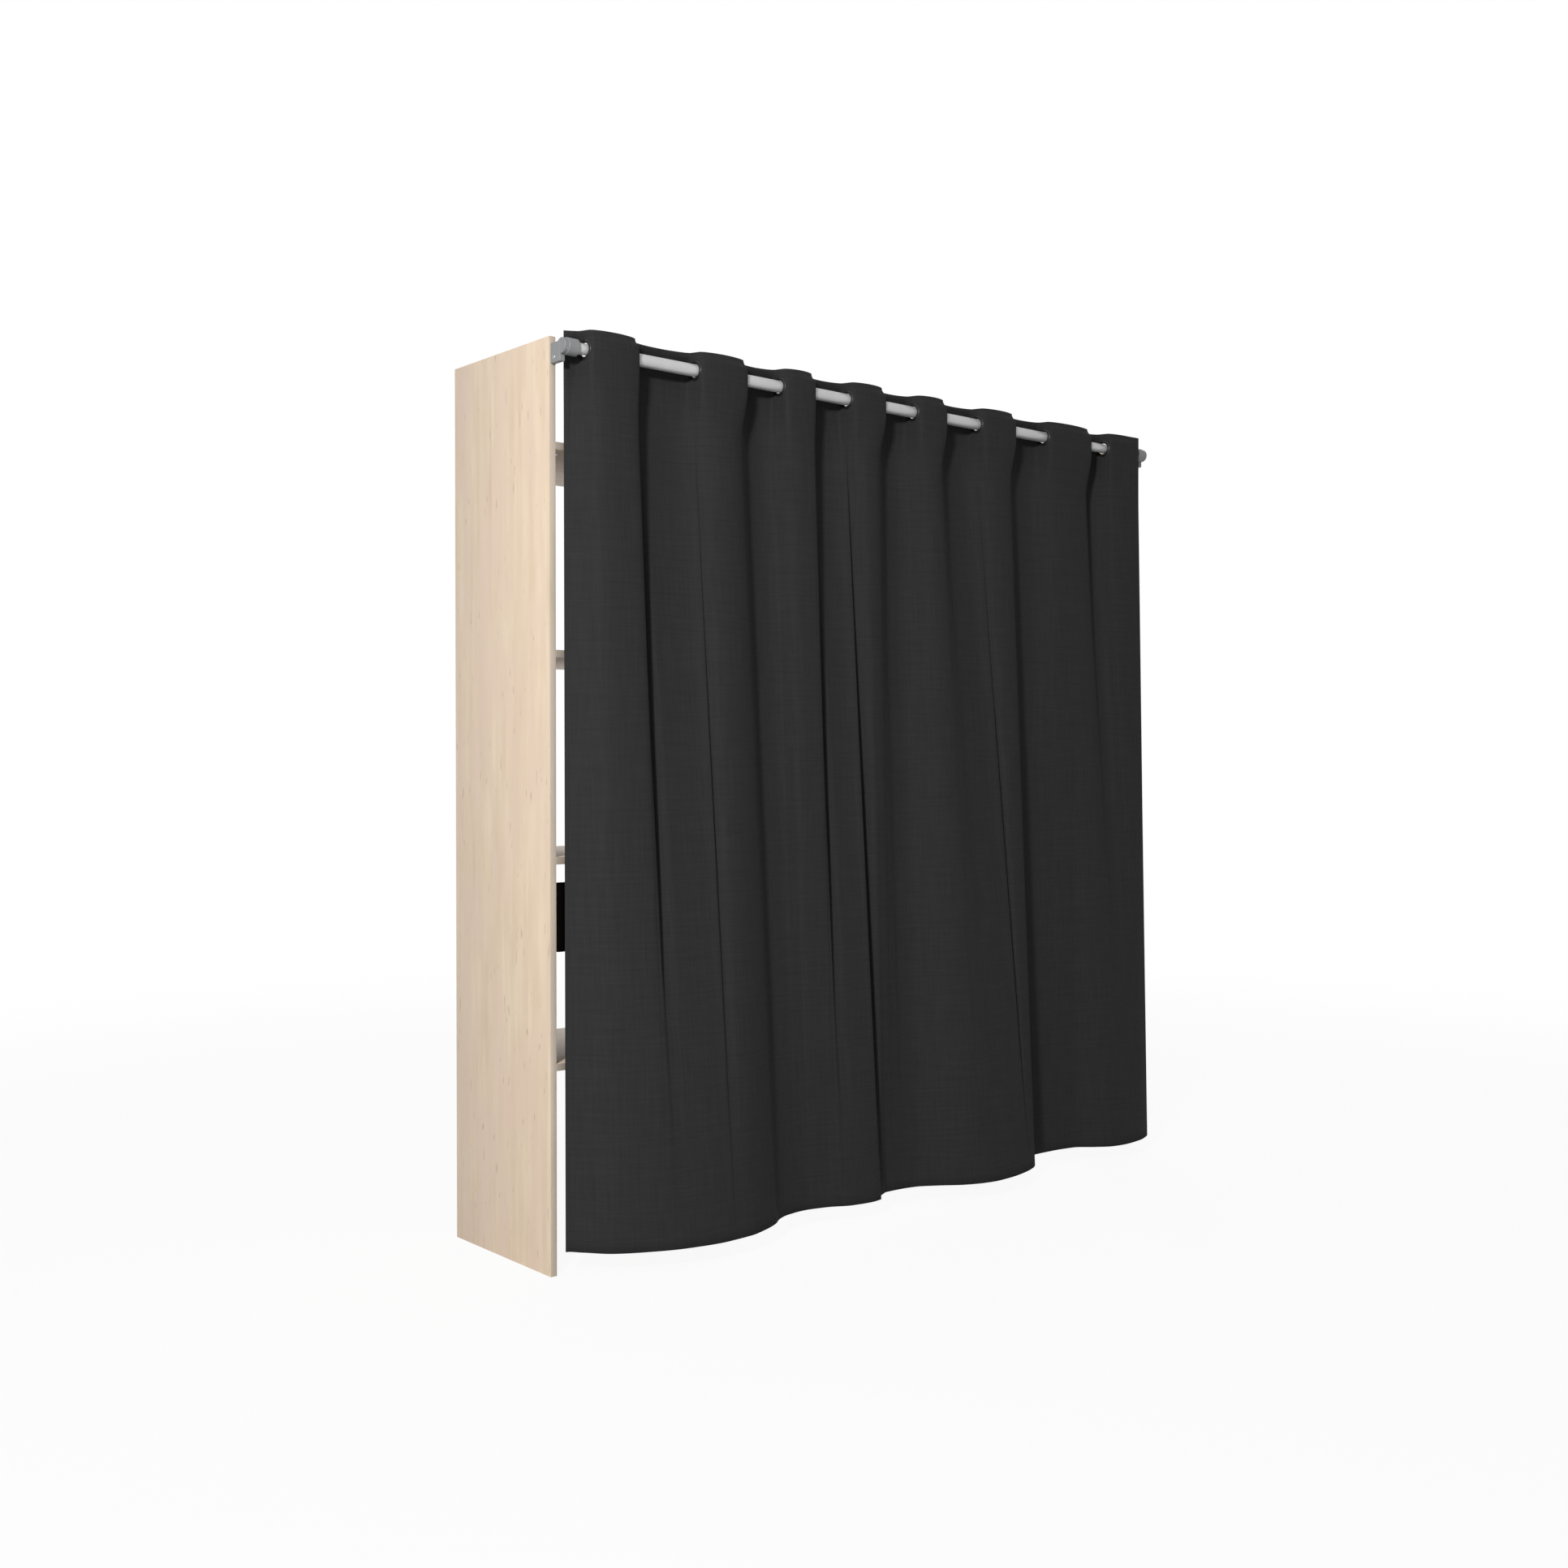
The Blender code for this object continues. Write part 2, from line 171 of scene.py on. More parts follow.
# Each socket has a kind, or a number that it starts with
def newGroup(name, inputs, outputs=surfaceOutputs, kind="ShaderNodeTree"):
    tree = bpy.data.node_groups.new(name, kind)
    for way, sockets in (("INPUT", inputs), ("OUTPUT", outputs)):
        for label, value in sockets.items():
            form = {float: "Float", int: "Int"}.get(type(value), value)
            socket = tree.interface.new_socket(label, in_out=way, socket_type=f"NodeSocket{form}")
            if form != value:
                socket.default_value = value
    return tree, tree.nodes.new("NodeGroupInput").outputs, tree.nodes.new("NodeGroupOutput").inputs


def endGroup(tree, out, tint, roughness, height):
    for value, socket in zip((tint, roughness, height), out):
        tree.links.new(value, socket)
    return tree


# Oak decor: grain along the vector's Z, staves side by side along its Y
def makeOakGrain():
    tree, given, out = newGroup("oakGrain", {
        "Vector": "Vector", "Light": "Color", "Dark": "Color", "Blush": "Color", "Fleck": "Color",
        "Stave": 0.075})
    place = given["Vector"]
    across = addNode(tree, "ShaderNodeSeparateXYZ", {0: place}).outputs[1]
    wander = times(tree, noise(tree, place, (3, 3, 0.6), 1), 0.02)
    number = calculate(tree, "DIVIDE", plus(tree, across, wander), given["Stave"])
    number = calculate(tree, "FLOOR", number)
    stave = nodeOut(tree, "ShaderNodeTexWhiteNoise", {"W": number}, noise_dimensions="1D")
    shift = nodeOut(tree, "ShaderNodeCombineXYZ", {0: stave, 2: times(tree, stave, 7)})
    moved = vectorMath(tree, "ADD", place, shift)
    bend = times(tree, noise(tree, moved, (5, 5, 1.2), 2), 0.03)
    bend = nodeOut(tree, "ShaderNodeCombineXYZ", {0: bend})
    bent = vectorMath(tree, "ADD", moved, bend)
    streaks = noise(tree, bent, (46, 46, 2.4), 3, 0.45)
    pores = noise(tree, bent, (620, 620, 18), 2, 0.6)
    clouds = noise(tree, moved, (19, 19, 5.5), 3)
    drift = noise(tree, moved, (13, 13, 3.2), 2)
    flecks = noise(tree, bent, (140, 140, 24), 1, 0.4)
    tone = times(tree, mapRange(tree, streaks, 0.30, 0.70), 0.46)
    tone = plus(tree, tone, times(tree, mapRange(tree, clouds, 0.32, 0.68), 0.36))
    tone = plus(tree, tone, times(tree, stave, 0.18))
    tint = blendColours(tree, tone, given["Light"], given["Dark"])
    blush = times(tree, mapRange(tree, drift, 0.42, 0.64), 0.75)
    tint = blendColours(tree, blush, tint, given["Blush"])
    dark = times(tree, mapRange(tree, flecks, 0.70, 0.78), 0.5)
    tint = blendColours(tree, dark, tint, given["Fleck"])
    pits = mapRange(tree, pores, 0.60, 0.74)
    tint = blendColours(tree, times(tree, pits, 0.15), tint, given["Fleck"])
    roughness = plus(tree, times(tree, pits, 0.12), 0.46)
    relief = minus(tree, times(tree, streaks, 0.4), pits)
    return endGroup(tree, out, tint, roughness, relief)


# Plain weave with uneven yarns, darker in the hollows between them as painted shade: the vector's X and Y
# are metres along and down the cloth
def makeCanvasWeave():
    tree, given, out = newGroup("canvasWeave", {
        "Vector": "Vector", "Yarn": "Color", "Gap": "Color", "Pitch": 0.0011, "Slub": 0.5})
    place = given["Vector"]
    parts = addNode(tree, "ShaderNodeSeparateXYZ", {0: place}).outputs
    waves = []
    for part in (parts[0], parts[1]):
        turns = calculate(tree, "DIVIDE", times(tree, part, pi), given["Pitch"])
        waves.append(calculate(tree, "SINE", turns))
    over = mapRange(tree, times(tree, waves[0], waves[1]), -0.35, 0.35)
    warp = calculate(tree, "ABSOLUTE", waves[0])
    weft = calculate(tree, "ABSOLUTE", waves[1])
    height = plus(tree, times(tree, warp, over), times(tree, weft, minus(tree, 1.0, over)))
    slubs = plus(tree, noise(tree, place, (420, 9, 1), 3, 0.7), noise(tree, place, (9, 420, 1), 3, 0.7))
    mottle = plus(tree, noise(tree, place, (150, 7, 1), 2, 0.6), noise(tree, place, (7, 150, 1), 2, 0.6))
    uneven = minus(tree, times(tree, slubs, 0.5), 0.5)
    uneven = plus(tree, uneven, times(tree, minus(tree, mottle, 1.0), 0.7))
    bright = times(tree, uneven, given["Slub"])
    bright = calculate(tree, "ADD", times(tree, height, 0.75), bright, clamp=True)
    # Low places in the weave take the darker gap colour: painted shade between the yarns, mixed with the
    # yarns' random slubs
    tint = blendColours(tree, bright, given["Gap"], given["Yarn"])
    roughness = minus(tree, 0.98, times(tree, height, 0.14))
    relief = plus(tree, height, times(tree, uneven, 0.8))
    return endGroup(tree, out, tint, roughness, relief)


# Fine grain, soft smears and a little dust, for lacquer, plastic and metal
def makeHandledFinish():
    tree, given, out = newGroup("handledFinish", {
        "Vector": "Vector", "Colour": "Color", "Grain": 900.0, "Smear": 0.1, "Base": 0.4})
    place = given["Vector"]
    size = nodeOut(tree, "ShaderNodeVectorMath", {0: place, 3: given["Grain"]}, operation="SCALE")
    fine = nodeOut(tree, "ShaderNodeTexNoise", {"Vector": size, "Scale": 1.0})
    broad = noise(tree, place, (14, 14, 5), 4, 0.6)
    smear = times(tree, mapRange(tree, broad, 0.35, 0.7), given["Smear"])
    shade = minus(tree, 1.04, times(tree, smear, 0.8))
    shade = plus(tree, shade, times(tree, minus(tree, fine, 0.5), given["Smear"]))
    grey = nodeOut(tree, "ShaderNodeCombineColor", {0: shade, 1: shade, 2: shade})
    tint = blendColours(tree, 1.0, given["Colour"], grey, "MULTIPLY")
    return endGroup(tree, out, tint, plus(tree, given["Base"], smear), fine)


oakGrain = makeOakGrain()
canvasWeave = makeCanvasWeave()
handledFinish = makeHandledFinish()


# Bump is the relief's strength and its depth in metres
def newMaterial(name, group, values, bump, coordinates="Object", turn=(0, 0, 0), **plain):
    material = bpy.data.materials.new(name)
    material.use_nodes = True
    tree = material.node_tree
    shader = tree.nodes["Principled BSDF"]
    if coordinates == "Object":
        place = addNode(tree, "ShaderNodeTexCoord").outputs["Object"]
    else:
        place = nodeOut(tree, "ShaderNodeUVMap", uv_map=coordinates)
    place = nodeOut(tree, "ShaderNodeMapping", {"Vector": place, "Rotation": turn})
    effect = addNode(tree, "ShaderNodeGroup", node_tree=group)
    tree.links.new(place, effect.inputs["Vector"])
    for label, value in values.items():
        effect.inputs[label].default_value = value
    tree.links.new(effect.outputs["Color"], shader.inputs["Base Color"])
    tree.links.new(effect.outputs["Roughness"], shader.inputs["Roughness"])
    sockets = {"Height": effect.outputs["Height"], "Strength": bump[0], "Distance": bump[1]}
    relief = nodeOut(tree, "ShaderNodeBump", sockets)
    tree.links.new(relief, shader.inputs["Normal"])
    for label, value in plain.items():
        shader.inputs[label].default_value = value
    return material


# A picture's colour, 0 to 255, as linear light
def colour(*channels):
    light = [c / 255 / 12.92 if c <= 10 else ((c / 255 + 0.055) / 1.055) ** 2.4 for c in channels]
    return (*light, 1.0)


def woodTones(*tones):
    return dict(zip(("Light", "Dark", "Blush", "Fleck"), [colour(*tone) for tone in tones]))


def handledMaterial(name, tone, grain, smear, roughness, bump, **plain):
    values = {"Colour": colour(*tone), "Grain": grain, "Smear": smear, "Base": roughness}
    return newMaterial(name, handledFinish, values, bump, **plain)


faceTones = woodTones((232, 213, 188), (215, 192, 165), (223, 200, 180), (172, 146, 118))
edgeTones = woodTones((212, 198, 180), (190, 175, 156), (198, 184, 170), (160, 140, 118))
# The shelves' front and back edges get darker, greyer tones than the panels' edges: painted shade
shadedShelfEdgeTones = woodTones((164, 153, 140), (146, 134, 121), (154, 143, 131), (124, 110, 94))
lying = (0, pi / 2, 0)
oakUpright = newMaterial("oakUpright", oakGrain, faceTones, (0.25, 0.0003))
oakLying = newMaterial("oakLying", oakGrain, faceTones, (0.25, 0.0003), turn=lying)
edgeUpright = newMaterial("edgeUpright", oakGrain, edgeTones, (0.2, 0.0003))
# Shelf edge material: its darker tones are painted shade
shadedEdgeLying = newMaterial("shadedEdgeLying", oakGrain, shadedShelfEdgeTones, (0.2, 0.0003), turn=lying)
# The gap colour is painted shade in the hollows between the yarns
charcoalCanvas = newMaterial(
    "charcoalCanvas", canvasWeave,
    {"Yarn": colour(62, 62, 63), "Gap": colour(34, 34, 35), "Pitch": 0.0011, "Slub": 0.46},
    (0.5, 0.0004), "clothThreads",
    **{"Sheen Weight": 0.03, "Sheen Roughness": 0.5, "Specular IOR Level": 0.05})
charcoalThread = handledMaterial("charcoalThread", (40, 40, 41), 1500.0, 0.2, 0.7, (0.3, 0.0002))
blackBoard = handledMaterial("blackBoard", (5, 4, 3), 1200.0, 0.12, 0.55, (0.2, 0.0002),
                             **{"Specular IOR Level": 0.03})
rodLacquer = handledMaterial("rodLacquer", (198, 198, 199), 1600.0, 0.08, 0.32, (0.1, 0.0001),
                             Metallic=0.25)
bracketPlastic = handledMaterial("bracketPlastic", (132, 133, 134), 2200.0, 0.10, 0.45, (0.3, 0.0002))
zincSteel = handledMaterial("zincSteel", (186, 188, 191), 700.0, 0.16, 0.28, (0.15, 0.0001),
                            Metallic=0.9)
eyeletLacquer = handledMaterial("eyeletLacquer", (34, 34, 36), 1500.0, 0.1, 0.3, (0.1, 0.0001),
                                Metallic=0.3)
print("materials made")


# Mesh helpers
def smoothShade(mesh, angle):
    mesh.shade_smooth()
    mesh.set_sharp_from_angle(angle=radians(angle))


def finishShape(name, shape, materials, smoothAngle=30):
    mesh = bpy.data.meshes.new(name)
    shape.to_mesh(mesh)
    shape.free()
    for material in materials:
        mesh.materials.append(material)
    if smoothAngle:
        smoothShade(mesh, smoothAngle)
    return addObject(name, mesh)


def evaluatedMesh(obj):
    bpy.context.view_layer.update()
    return bpy.data.meshes.new_from_object(obj.evaluated_get(bpy.context.evaluated_depsgraph_get()))


def settle(obj, name):
    made = addObject(name, evaluatedMesh(obj))
    remove(obj)
    return made


def cut(obj, tools, operation="DIFFERENCE"):
    for tool in tools:
        modifier = obj.modifiers.new("cut", "BOOLEAN")
        modifier.operation = operation
        modifier.solver = "EXACT"
        modifier.object = tool
    made = evaluatedMesh(obj)
    obj.modifiers.clear()
    obj.data = made
    remove(*tools)


# Bars turned about X, for cutting a cross into a head
def crossTools(name, size, angles, place):
    tools = []
    for angle in angles:
        shape = bmesh.new()
        bmesh.ops.create_cube(shape, size=1)
        bmesh.ops.scale(shape, vec=size, verts=shape.verts)
        bmesh.ops.rotate(shape, matrix=Matrix.Rotation(angle, 3, "X"), verts=shape.verts)
        bmesh.ops.translate(shape, vec=place, verts=shape.verts)
        tools.append(finishShape(name, shape, [zincSteel], 0))
    return tools


def dress(obj, body, node):
    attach(obj, body)
    if node:
        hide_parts(node)


def bevelledBox(name, low, high, radius, materials, segments=2):
    low, high = Vector(low), Vector(high)
    shape = bmesh.new()
    bmesh.ops.create_cube(shape, size=1)
    bmesh.ops.scale(shape, vec=high - low, verts=shape.verts)
    bmesh.ops.translate(shape, vec=(low + high) / 2, verts=shape.verts)
    bmesh.ops.bevel(shape, geom=shape.edges[:], offset=radius, segments=segments, profile=0.5,
                    affect="EDGES")
    shape.normal_update()
    if len(materials) > 1:
        for face in shape.faces:
            face.material_index = int(abs(face.normal.y) > 0.5)
    return finishShape(name, shape, materials)


# A solid turned about an axis along X, from (along, radius) points that start and end on the axis
def turnedSolid(name, profile, place, sides, material, smoothAngle=35):
    shape = bmesh.new()
    poles = [shape.verts.new((profile[0][0], 0, 0)), shape.verts.new((profile[-1][0], 0, 0))]
    rings = []
    for step in range(sides):
        angle = 2 * pi * step / sides
        rings.append([shape.verts.new((x, r * cos(angle), r * sin(angle))) for x, r in profile[1:-1]])
    for step in range(sides):
        ring, after = rings[step], rings[(step + 1) % sides]
        shape.faces.new((poles[0], ring[0], after[0]))
        shape.faces.new((poles[1], after[-1], ring[-1]))
        for index in range(len(ring) - 1):
            shape.faces.new((ring[index], ring[index + 1], after[index + 1], after[index]))
    bmesh.ops.recalc_face_normals(shape, faces=shape.faces)
    bmesh.ops.translate(shape, vec=place, verts=shape.verts)
    return finishShape(name, shape, [material], smoothAngle)


# Geometry Nodes helpers
def newTree(name, inputs):
    inputs["Finish"] = "Material"
    return newGroup(name, inputs, {"Geometry": "Geometry"}, "GeometryNodeTree")


def shapeOf(tree, socket):
    return addNode(tree, "GeometryNodeObjectInfo", {"Object": socket}).outputs["Geometry"]


def endTree(tree, given, out, geometry):
    whole = nodeOut(tree, "GeometryNodeRealizeInstances", {"Geometry": geometry})
    done = nodeOut(tree, "GeometryNodeSetMaterial",
                   {"Geometry": whole, "Material": given["Finish"]})
    tree.links.new(done, out[0])
    return tree


def scatter(tree, given, out, points, piece, turn=(0, 0, 0)):
    placed = nodeOut(tree, "GeometryNodeInstanceOnPoints",
                     {"Points": points, "Instance": piece, "Rotation": turn})
    return endTree(tree, given, out, placed)


def grow(name, tree, values):
    host = addObject(f"{name}Host", bpy.data.meshes.new(f"{name}Host"))
    modifier = host.modifiers.new("grow", "NODES")
    modifier.node_group = tree
    for item in tree.interface.items_tree:
        if item.in_out == "INPUT" and item.name in values:
            modifier[item.identifier] = values[item.name]
    return settle(host, name)


def lineObject(name, points, closed=False):
    mesh = bpy.data.meshes.new(name)
    edges = [(i, i + 1) for i in range(len(points) - 1)]
    if closed:
        edges.append((len(points) - 1, 0))
    mesh.from_pydata([tuple(p) for p in points], edges, [])
    return addObject(name, mesh)


# A ring with a drawn section, swept round an axis along X
def makeTurnedRing():
    tree, given, out = newTree("turnedRing", {
        "Section": "Object", "Radius": 0.02, "Sides": 48, "Place": "Vector", "Turn": 0.0})
    section = nodeOut(tree, "GeometryNodeMeshToCurve", {"Mesh": shapeOf(tree, given["Section"])})
    path = nodeOut(tree, "GeometryNodeCurvePrimitiveCircle",
                   {"Resolution": given["Sides"], "Radius": given["Radius"]}, mode="RADIUS")
    ring = nodeOut(tree, "GeometryNodeCurveToMesh",
                   {"Curve": path, "Profile Curve": section})
    upright = nodeOut(tree, "GeometryNodeTransform",
                      {"Geometry": ring, "Rotation": (0, pi / 2, 0)})
    turn = nodeOut(tree, "ShaderNodeCombineXYZ", {2: given["Turn"]})
    placed = nodeOut(tree, "GeometryNodeTransform", {
        "Geometry": upright, "Translation": given["Place"], "Rotation": turn})
    return endTree(tree, given, out, placed)


turnedRing = makeTurnedRing()


# The section is (along, radius) points. The sweep lays its Y against X, so along goes in negative.
def ringPiece(name, section, radius, place, material, sides=48, turn=0.0, smoothAngle=40):
    outline = lineObject(f"{name}Section", [(r - radius, -x, 0) for x, r in section], closed=True)
    made = grow(name, turnedRing, {
        "Section": outline, "Radius": radius, "Sides": sides, "Place": place, "Turn": turn,
        "Finish": material})
    remove(outline)
    shape = bmesh.new()
    shape.from_mesh(made.data)
    bmesh.ops.recalc_face_normals(shape, faces=shape.faces)
    shape.to_mesh(made.data)
    shape.free()
    smoothShade(made.data, smoothAngle)
    return made


# Points on a quarter turn, for rounded lips: centre, radius and start angle in the (along, radius) plane
def roundLip(x, r, size, start, steps=4):
    return [(x + size * cos(start + pi / 2 * i / steps), r + size * sin(start + pi / 2 * i / steps))
            for i in range(steps + 1)]


# Boards
boardSizes = {"edge": 0.0008, "drawerEdge": 0.0012}


def makeBoard(name, node, edge, materials, body="carcass", segments=2):
    board = bevelledBox(name, *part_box(node), edge, materials, segments)
    dress(board, body, node)


def refinish(node, material):
    frame["nodes"][node].material_slots[0].material = material


def makeBoards(sizes):
    edge = sizes["edge"]
    for side in ("left", "right"):
        for kind in ("side", "inner"):
            makeBoard(f"{side}_{kind}_board", f"{side}_{kind}_panel", edge, [oakUpright, edgeUpright])
        for number in range(1, 5):
            # the shelves' edge material carries painted shade
            makeBoard(f"{side}_shelf_board_{number}", f"{side}_shelf_{number}", edge,
                      [oakLying, shadedEdgeLying])
    makeBoard("drawer_front_board", "drawer_front", sizes["drawerEdge"], [blackBoard], "drawer",
              3)
    for name in ("back", "bottom", "side_left", "side_right"):
        refinish(f"drawer_{name}", blackBoard)
    for kind in ("fixed", "moving"):
        for side in ("left", "right"):
            refinish(f"drawer_runner_{kind}_{side}", zincSteel)


makeBoards(boardSizes)
print("boards made")


# Rod and hanging rails: drawn tubes with rolled lips
tubeSizes = {"wall": 0.0012, "lip": 0.0005}


def tubeSection(half, radius, sizes):
    inner, lip = radius - sizes["wall"], sizes["lip"]
    section = roundLip(half - lip, radius - lip, lip, 0)
    section += roundLip(-half + lip, radius - lip, lip, pi / 2)
    section += roundLip(-half + lip, inner + lip, lip, pi)
    section += roundLip(half - lip, inner + lip, lip, 3 * pi / 2)
    return section


def makeTube(node, material, sizes):
    low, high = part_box(node)
    centre, half, radius = (low + high) / 2, (high.x - low.x) / 2, (high.z - low.z) / 2
    piece = ringPiece(f"{node}_drawn", tubeSection(half, radius, sizes), radius, centre, material)
    dress(piece, "carcass", node)


for part in ("left", "middle", "right"):
    makeTube(f"curtain_rod_{part}_tube", rodLacquer, tubeSizes)
for level in ("upper", "lower"):
    for part in ("outer", "inner"):
        makeTube(f"{level}_rail_{part}_tube", zincSteel, tubeSizes)
print("tubes made")


# Rail flanges, each with three screws
flangeSizes = {
    "plate": 0.003, "rim": 0.0018, "cup": 0.014, "cupWall": 0.003, "cupEdge": 0.001, "fillet": 0.002,
    "boreEdge": 0.0005, "clearance": 0.0003, "rounding": 0.3,  # share of a rounding at its middle point
    "screws": 3, "screwRing": 0.0225, "screwHead": 0.0035, "headRise": 0.0016,
    "headCurve": ((0, 1), (0.45, 0.94), (0.8, 0.7), (1, 0.35)),  # shares of the rise and the radius
    "recess": (1.15, 0.26),  # length and width as shares of the head's radius
}


def makeScrewTree():
    tree, given, out = newTree("screwRing", {
        "Centre": "Vector", "Ring": 0.02, "Count": 3, "Screw": "Object"})
    ring = nodeOut(tree, "GeometryNodeMeshCircle", {"Vertices": given["Count"], "Radius": given["Ring"]})
    turned = nodeOut(tree, "GeometryNodeTransform", {
        "Geometry": ring, "Rotation": (0, pi / 2, 0), "Translation": given["Centre"]})
    return scatter(tree, given, out, turned, shapeOf(tree, given["Screw"]))


screwTree = makeScrewTree()


# A pan head with a cross recess, its axis along X and its top towards outward
def screwHead(sizes, outward):
    radius, rise = pick(sizes, "screwHead headRise")
    profile = [(0, 0), *[(rise * x, radius * r) for x, r in sizes["headCurve"]], (rise, 0)]
    profile = [(outward * x, r) for x, r in profile]
    head = turnedSolid("flangeScrewHead", profile, (0, 0, 0), 20, zincSteel)
    length, width = sizes["recess"]
    size = (rise, radius * length, radius * width)
    cut(head, crossTools("flangeScrewSlot", size, (0, pi / 2), (outward * rise, 0, 0)))
    return head


def makeFlange(level, side, sizes):
    node = f"{level}_rail_{side}_flange"
    low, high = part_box(node)
    centre, radius = (low + high) / 2, (high.z - low.z) / 2
    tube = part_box(f"{level}_rail_{'outer' if side == 'left' else 'inner'}_tube")
    bore = (tube[1].z - tube[0].z) / 2 + sizes["clearance"]
    inward = 1 if side == "left" else -1
    face = low.x if side == "left" else high.x
    neck = bore + sizes["cupWall"]
    plate, cup, rim, fillet = pick(sizes, "plate cup rim fillet")
    edge, lip, share = pick(sizes, "cupEdge boreEdge rounding")
    section = [
        (0, bore), (0, radius), (plate - rim, radius), (plate - rim * share, radius - rim * share),
        (plate, radius - rim), (plate, neck + fillet), (plate + fillet * share, neck + fillet * share),
        (plate + fillet, neck), (cup - edge, neck), (cup, neck - edge), (cup, bore + lip),
        (cup - lip, bore),
    ]
    section = [(face + inward * x - centre.x, r) for x, r in section]
    flange = ringPiece(f"{node}_pressed", section, radius, centre, zincSteel, smoothAngle=20)
    dress(flange, "carcass", node)
    head = screwHead(sizes, inward)
    place = Vector((face + inward * plate, centre.y, centre.z))
    screws = grow(f"{node}_screws", screwTree, {
        "Centre": place, "Ring": sizes["screwRing"], "Count": sizes["screws"], "Screw": head,
        "Finish": zincSteel})
    remove(head)
    dress(screws, "carcass", None)


for level in ("upper", "lower"):
    for side in ("left", "right"):
        makeFlange(level, side, flangeSizes)
print("flanges made")


# Rod brackets: arm, boss and collar in one moulding, with a cam in the arm's outer face
bracketSizes = {
    "armWidth": 0.013, "armReach": 0.037, "armRise": 0.0115, "armDrop": 0.032, "armEdge": 0.0014,
    "bossRadius": 0.017, "collarRadius": 0.0185, "lip": 0.001, "sink": 0.0005,
    "bore": 0.0128, "boreFloor": 0.004, "overrun": 0.002,
    "camDrop": 0.0205, "camReach": 0.0132, "camRadius": 0.0045, "camDepth": 0.006, "camProud": 0.0008,
    "camEdge": 0.0005, "clearance": 0.0004, "slot": 0.0012, "slotDepth": 0.003,
    "slotReach": 1.3,  # length as a share of the cam's radius
    "sides": 64, "camSides": 40, "sharp": 32,
}


def makeBracket(side, sizes):
    sign = -1 if side == "left" else 1
    rodLow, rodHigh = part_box(f"curtain_rod_{side}_tube")
    axis = (rodLow + rodHigh) / 2
    low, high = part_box(f"{side}_rod_bracket")
    outer = low.x if sign < 0 else high.x
    reach = high.x - low.x
    width, lip, sink, over = pick(sizes, "armWidth lip sink overrun")

    # A profile of (depth behind the arm's outer face, radius) points
    def turned(name, profile, centre, sides, material=bracketPlastic):
        profile = [(outer - sign * depth, radius) for depth, radius in profile]
        return turnedSolid(name, profile, (0, *centre), sides, material)

    edges = sorted((outer, outer - sign * width))
    arm = bevelledBox(
        f"{side}_rod_bracket_moulding",
        (edges[0], high.y - sizes["armReach"], axis.z - sizes["armDrop"]),
        (edges[1], high.y, axis.z + sizes["armRise"]), sizes["armEdge"], [bracketPlastic], 3)
    radius = sizes["bossRadius"]
    boss = turned("boss", [
        (sink, 0), (sink, radius - lip), (sink + lip, radius), (width - sink, radius),
        (width - sink, 0)], axis.yz, sizes["sides"])
    radius = sizes["collarRadius"]
    collar = turned("collar", [
        (width - 2 * lip, 0), (width - 2 * lip, radius - lip), (width - lip, radius),
        (reach - lip, radius), (reach, radius - lip), (reach, 0)], axis.yz, sizes["sides"])
    cut(arm, [boss, collar], "UNION")
    radius = sizes["bore"]
    bore = turned("bore", [
        (sizes["boreFloor"], 0), (sizes["boreFloor"], radius), (reach + over, radius),
        (reach + over, 0)], axis.yz, sizes["sides"])
    cam = (high.y - sizes["camReach"], axis.z - sizes["camDrop"])
    depth, radius, clear = pick(sizes, "camDepth camRadius clearance")
    well = turned("camWell", [
        (-over, 0), (-over, radius + clear), (depth, radius + clear), (depth, 0)], cam, sizes["camSides"])
    cut(arm, [bore, well])
    smoothShade(arm.data, sizes["sharp"])
    dress(arm, "carcass", f"{side}_rod_bracket")
    proud, edge = pick(sizes, "camProud camEdge")
    disc = turned(f"{side}_bracket_cam_slotted", [
        (depth - clear, 0), (depth - clear, radius), (edge - proud, radius), (-proud, radius - edge),
        (-proud, 0)], cam, sizes["camSides"], zincSteel)
    size = (sizes["slotDepth"], radius * sizes["slotReach"], sizes["slot"])
    cut(disc, crossTools("camSlot", size, (pi / 4, 3 * pi / 4), (outer + sign * proud, *cam)))
    smoothShade(disc.data, sizes["sharp"])
    dress(disc, "carcass", f"{side}_bracket_cam")
    refinish(f"{side}_bracket_bolt", zincSteel)


for side in ("left", "right"):
    makeBracket(side, bracketSizes)
print("brackets made")


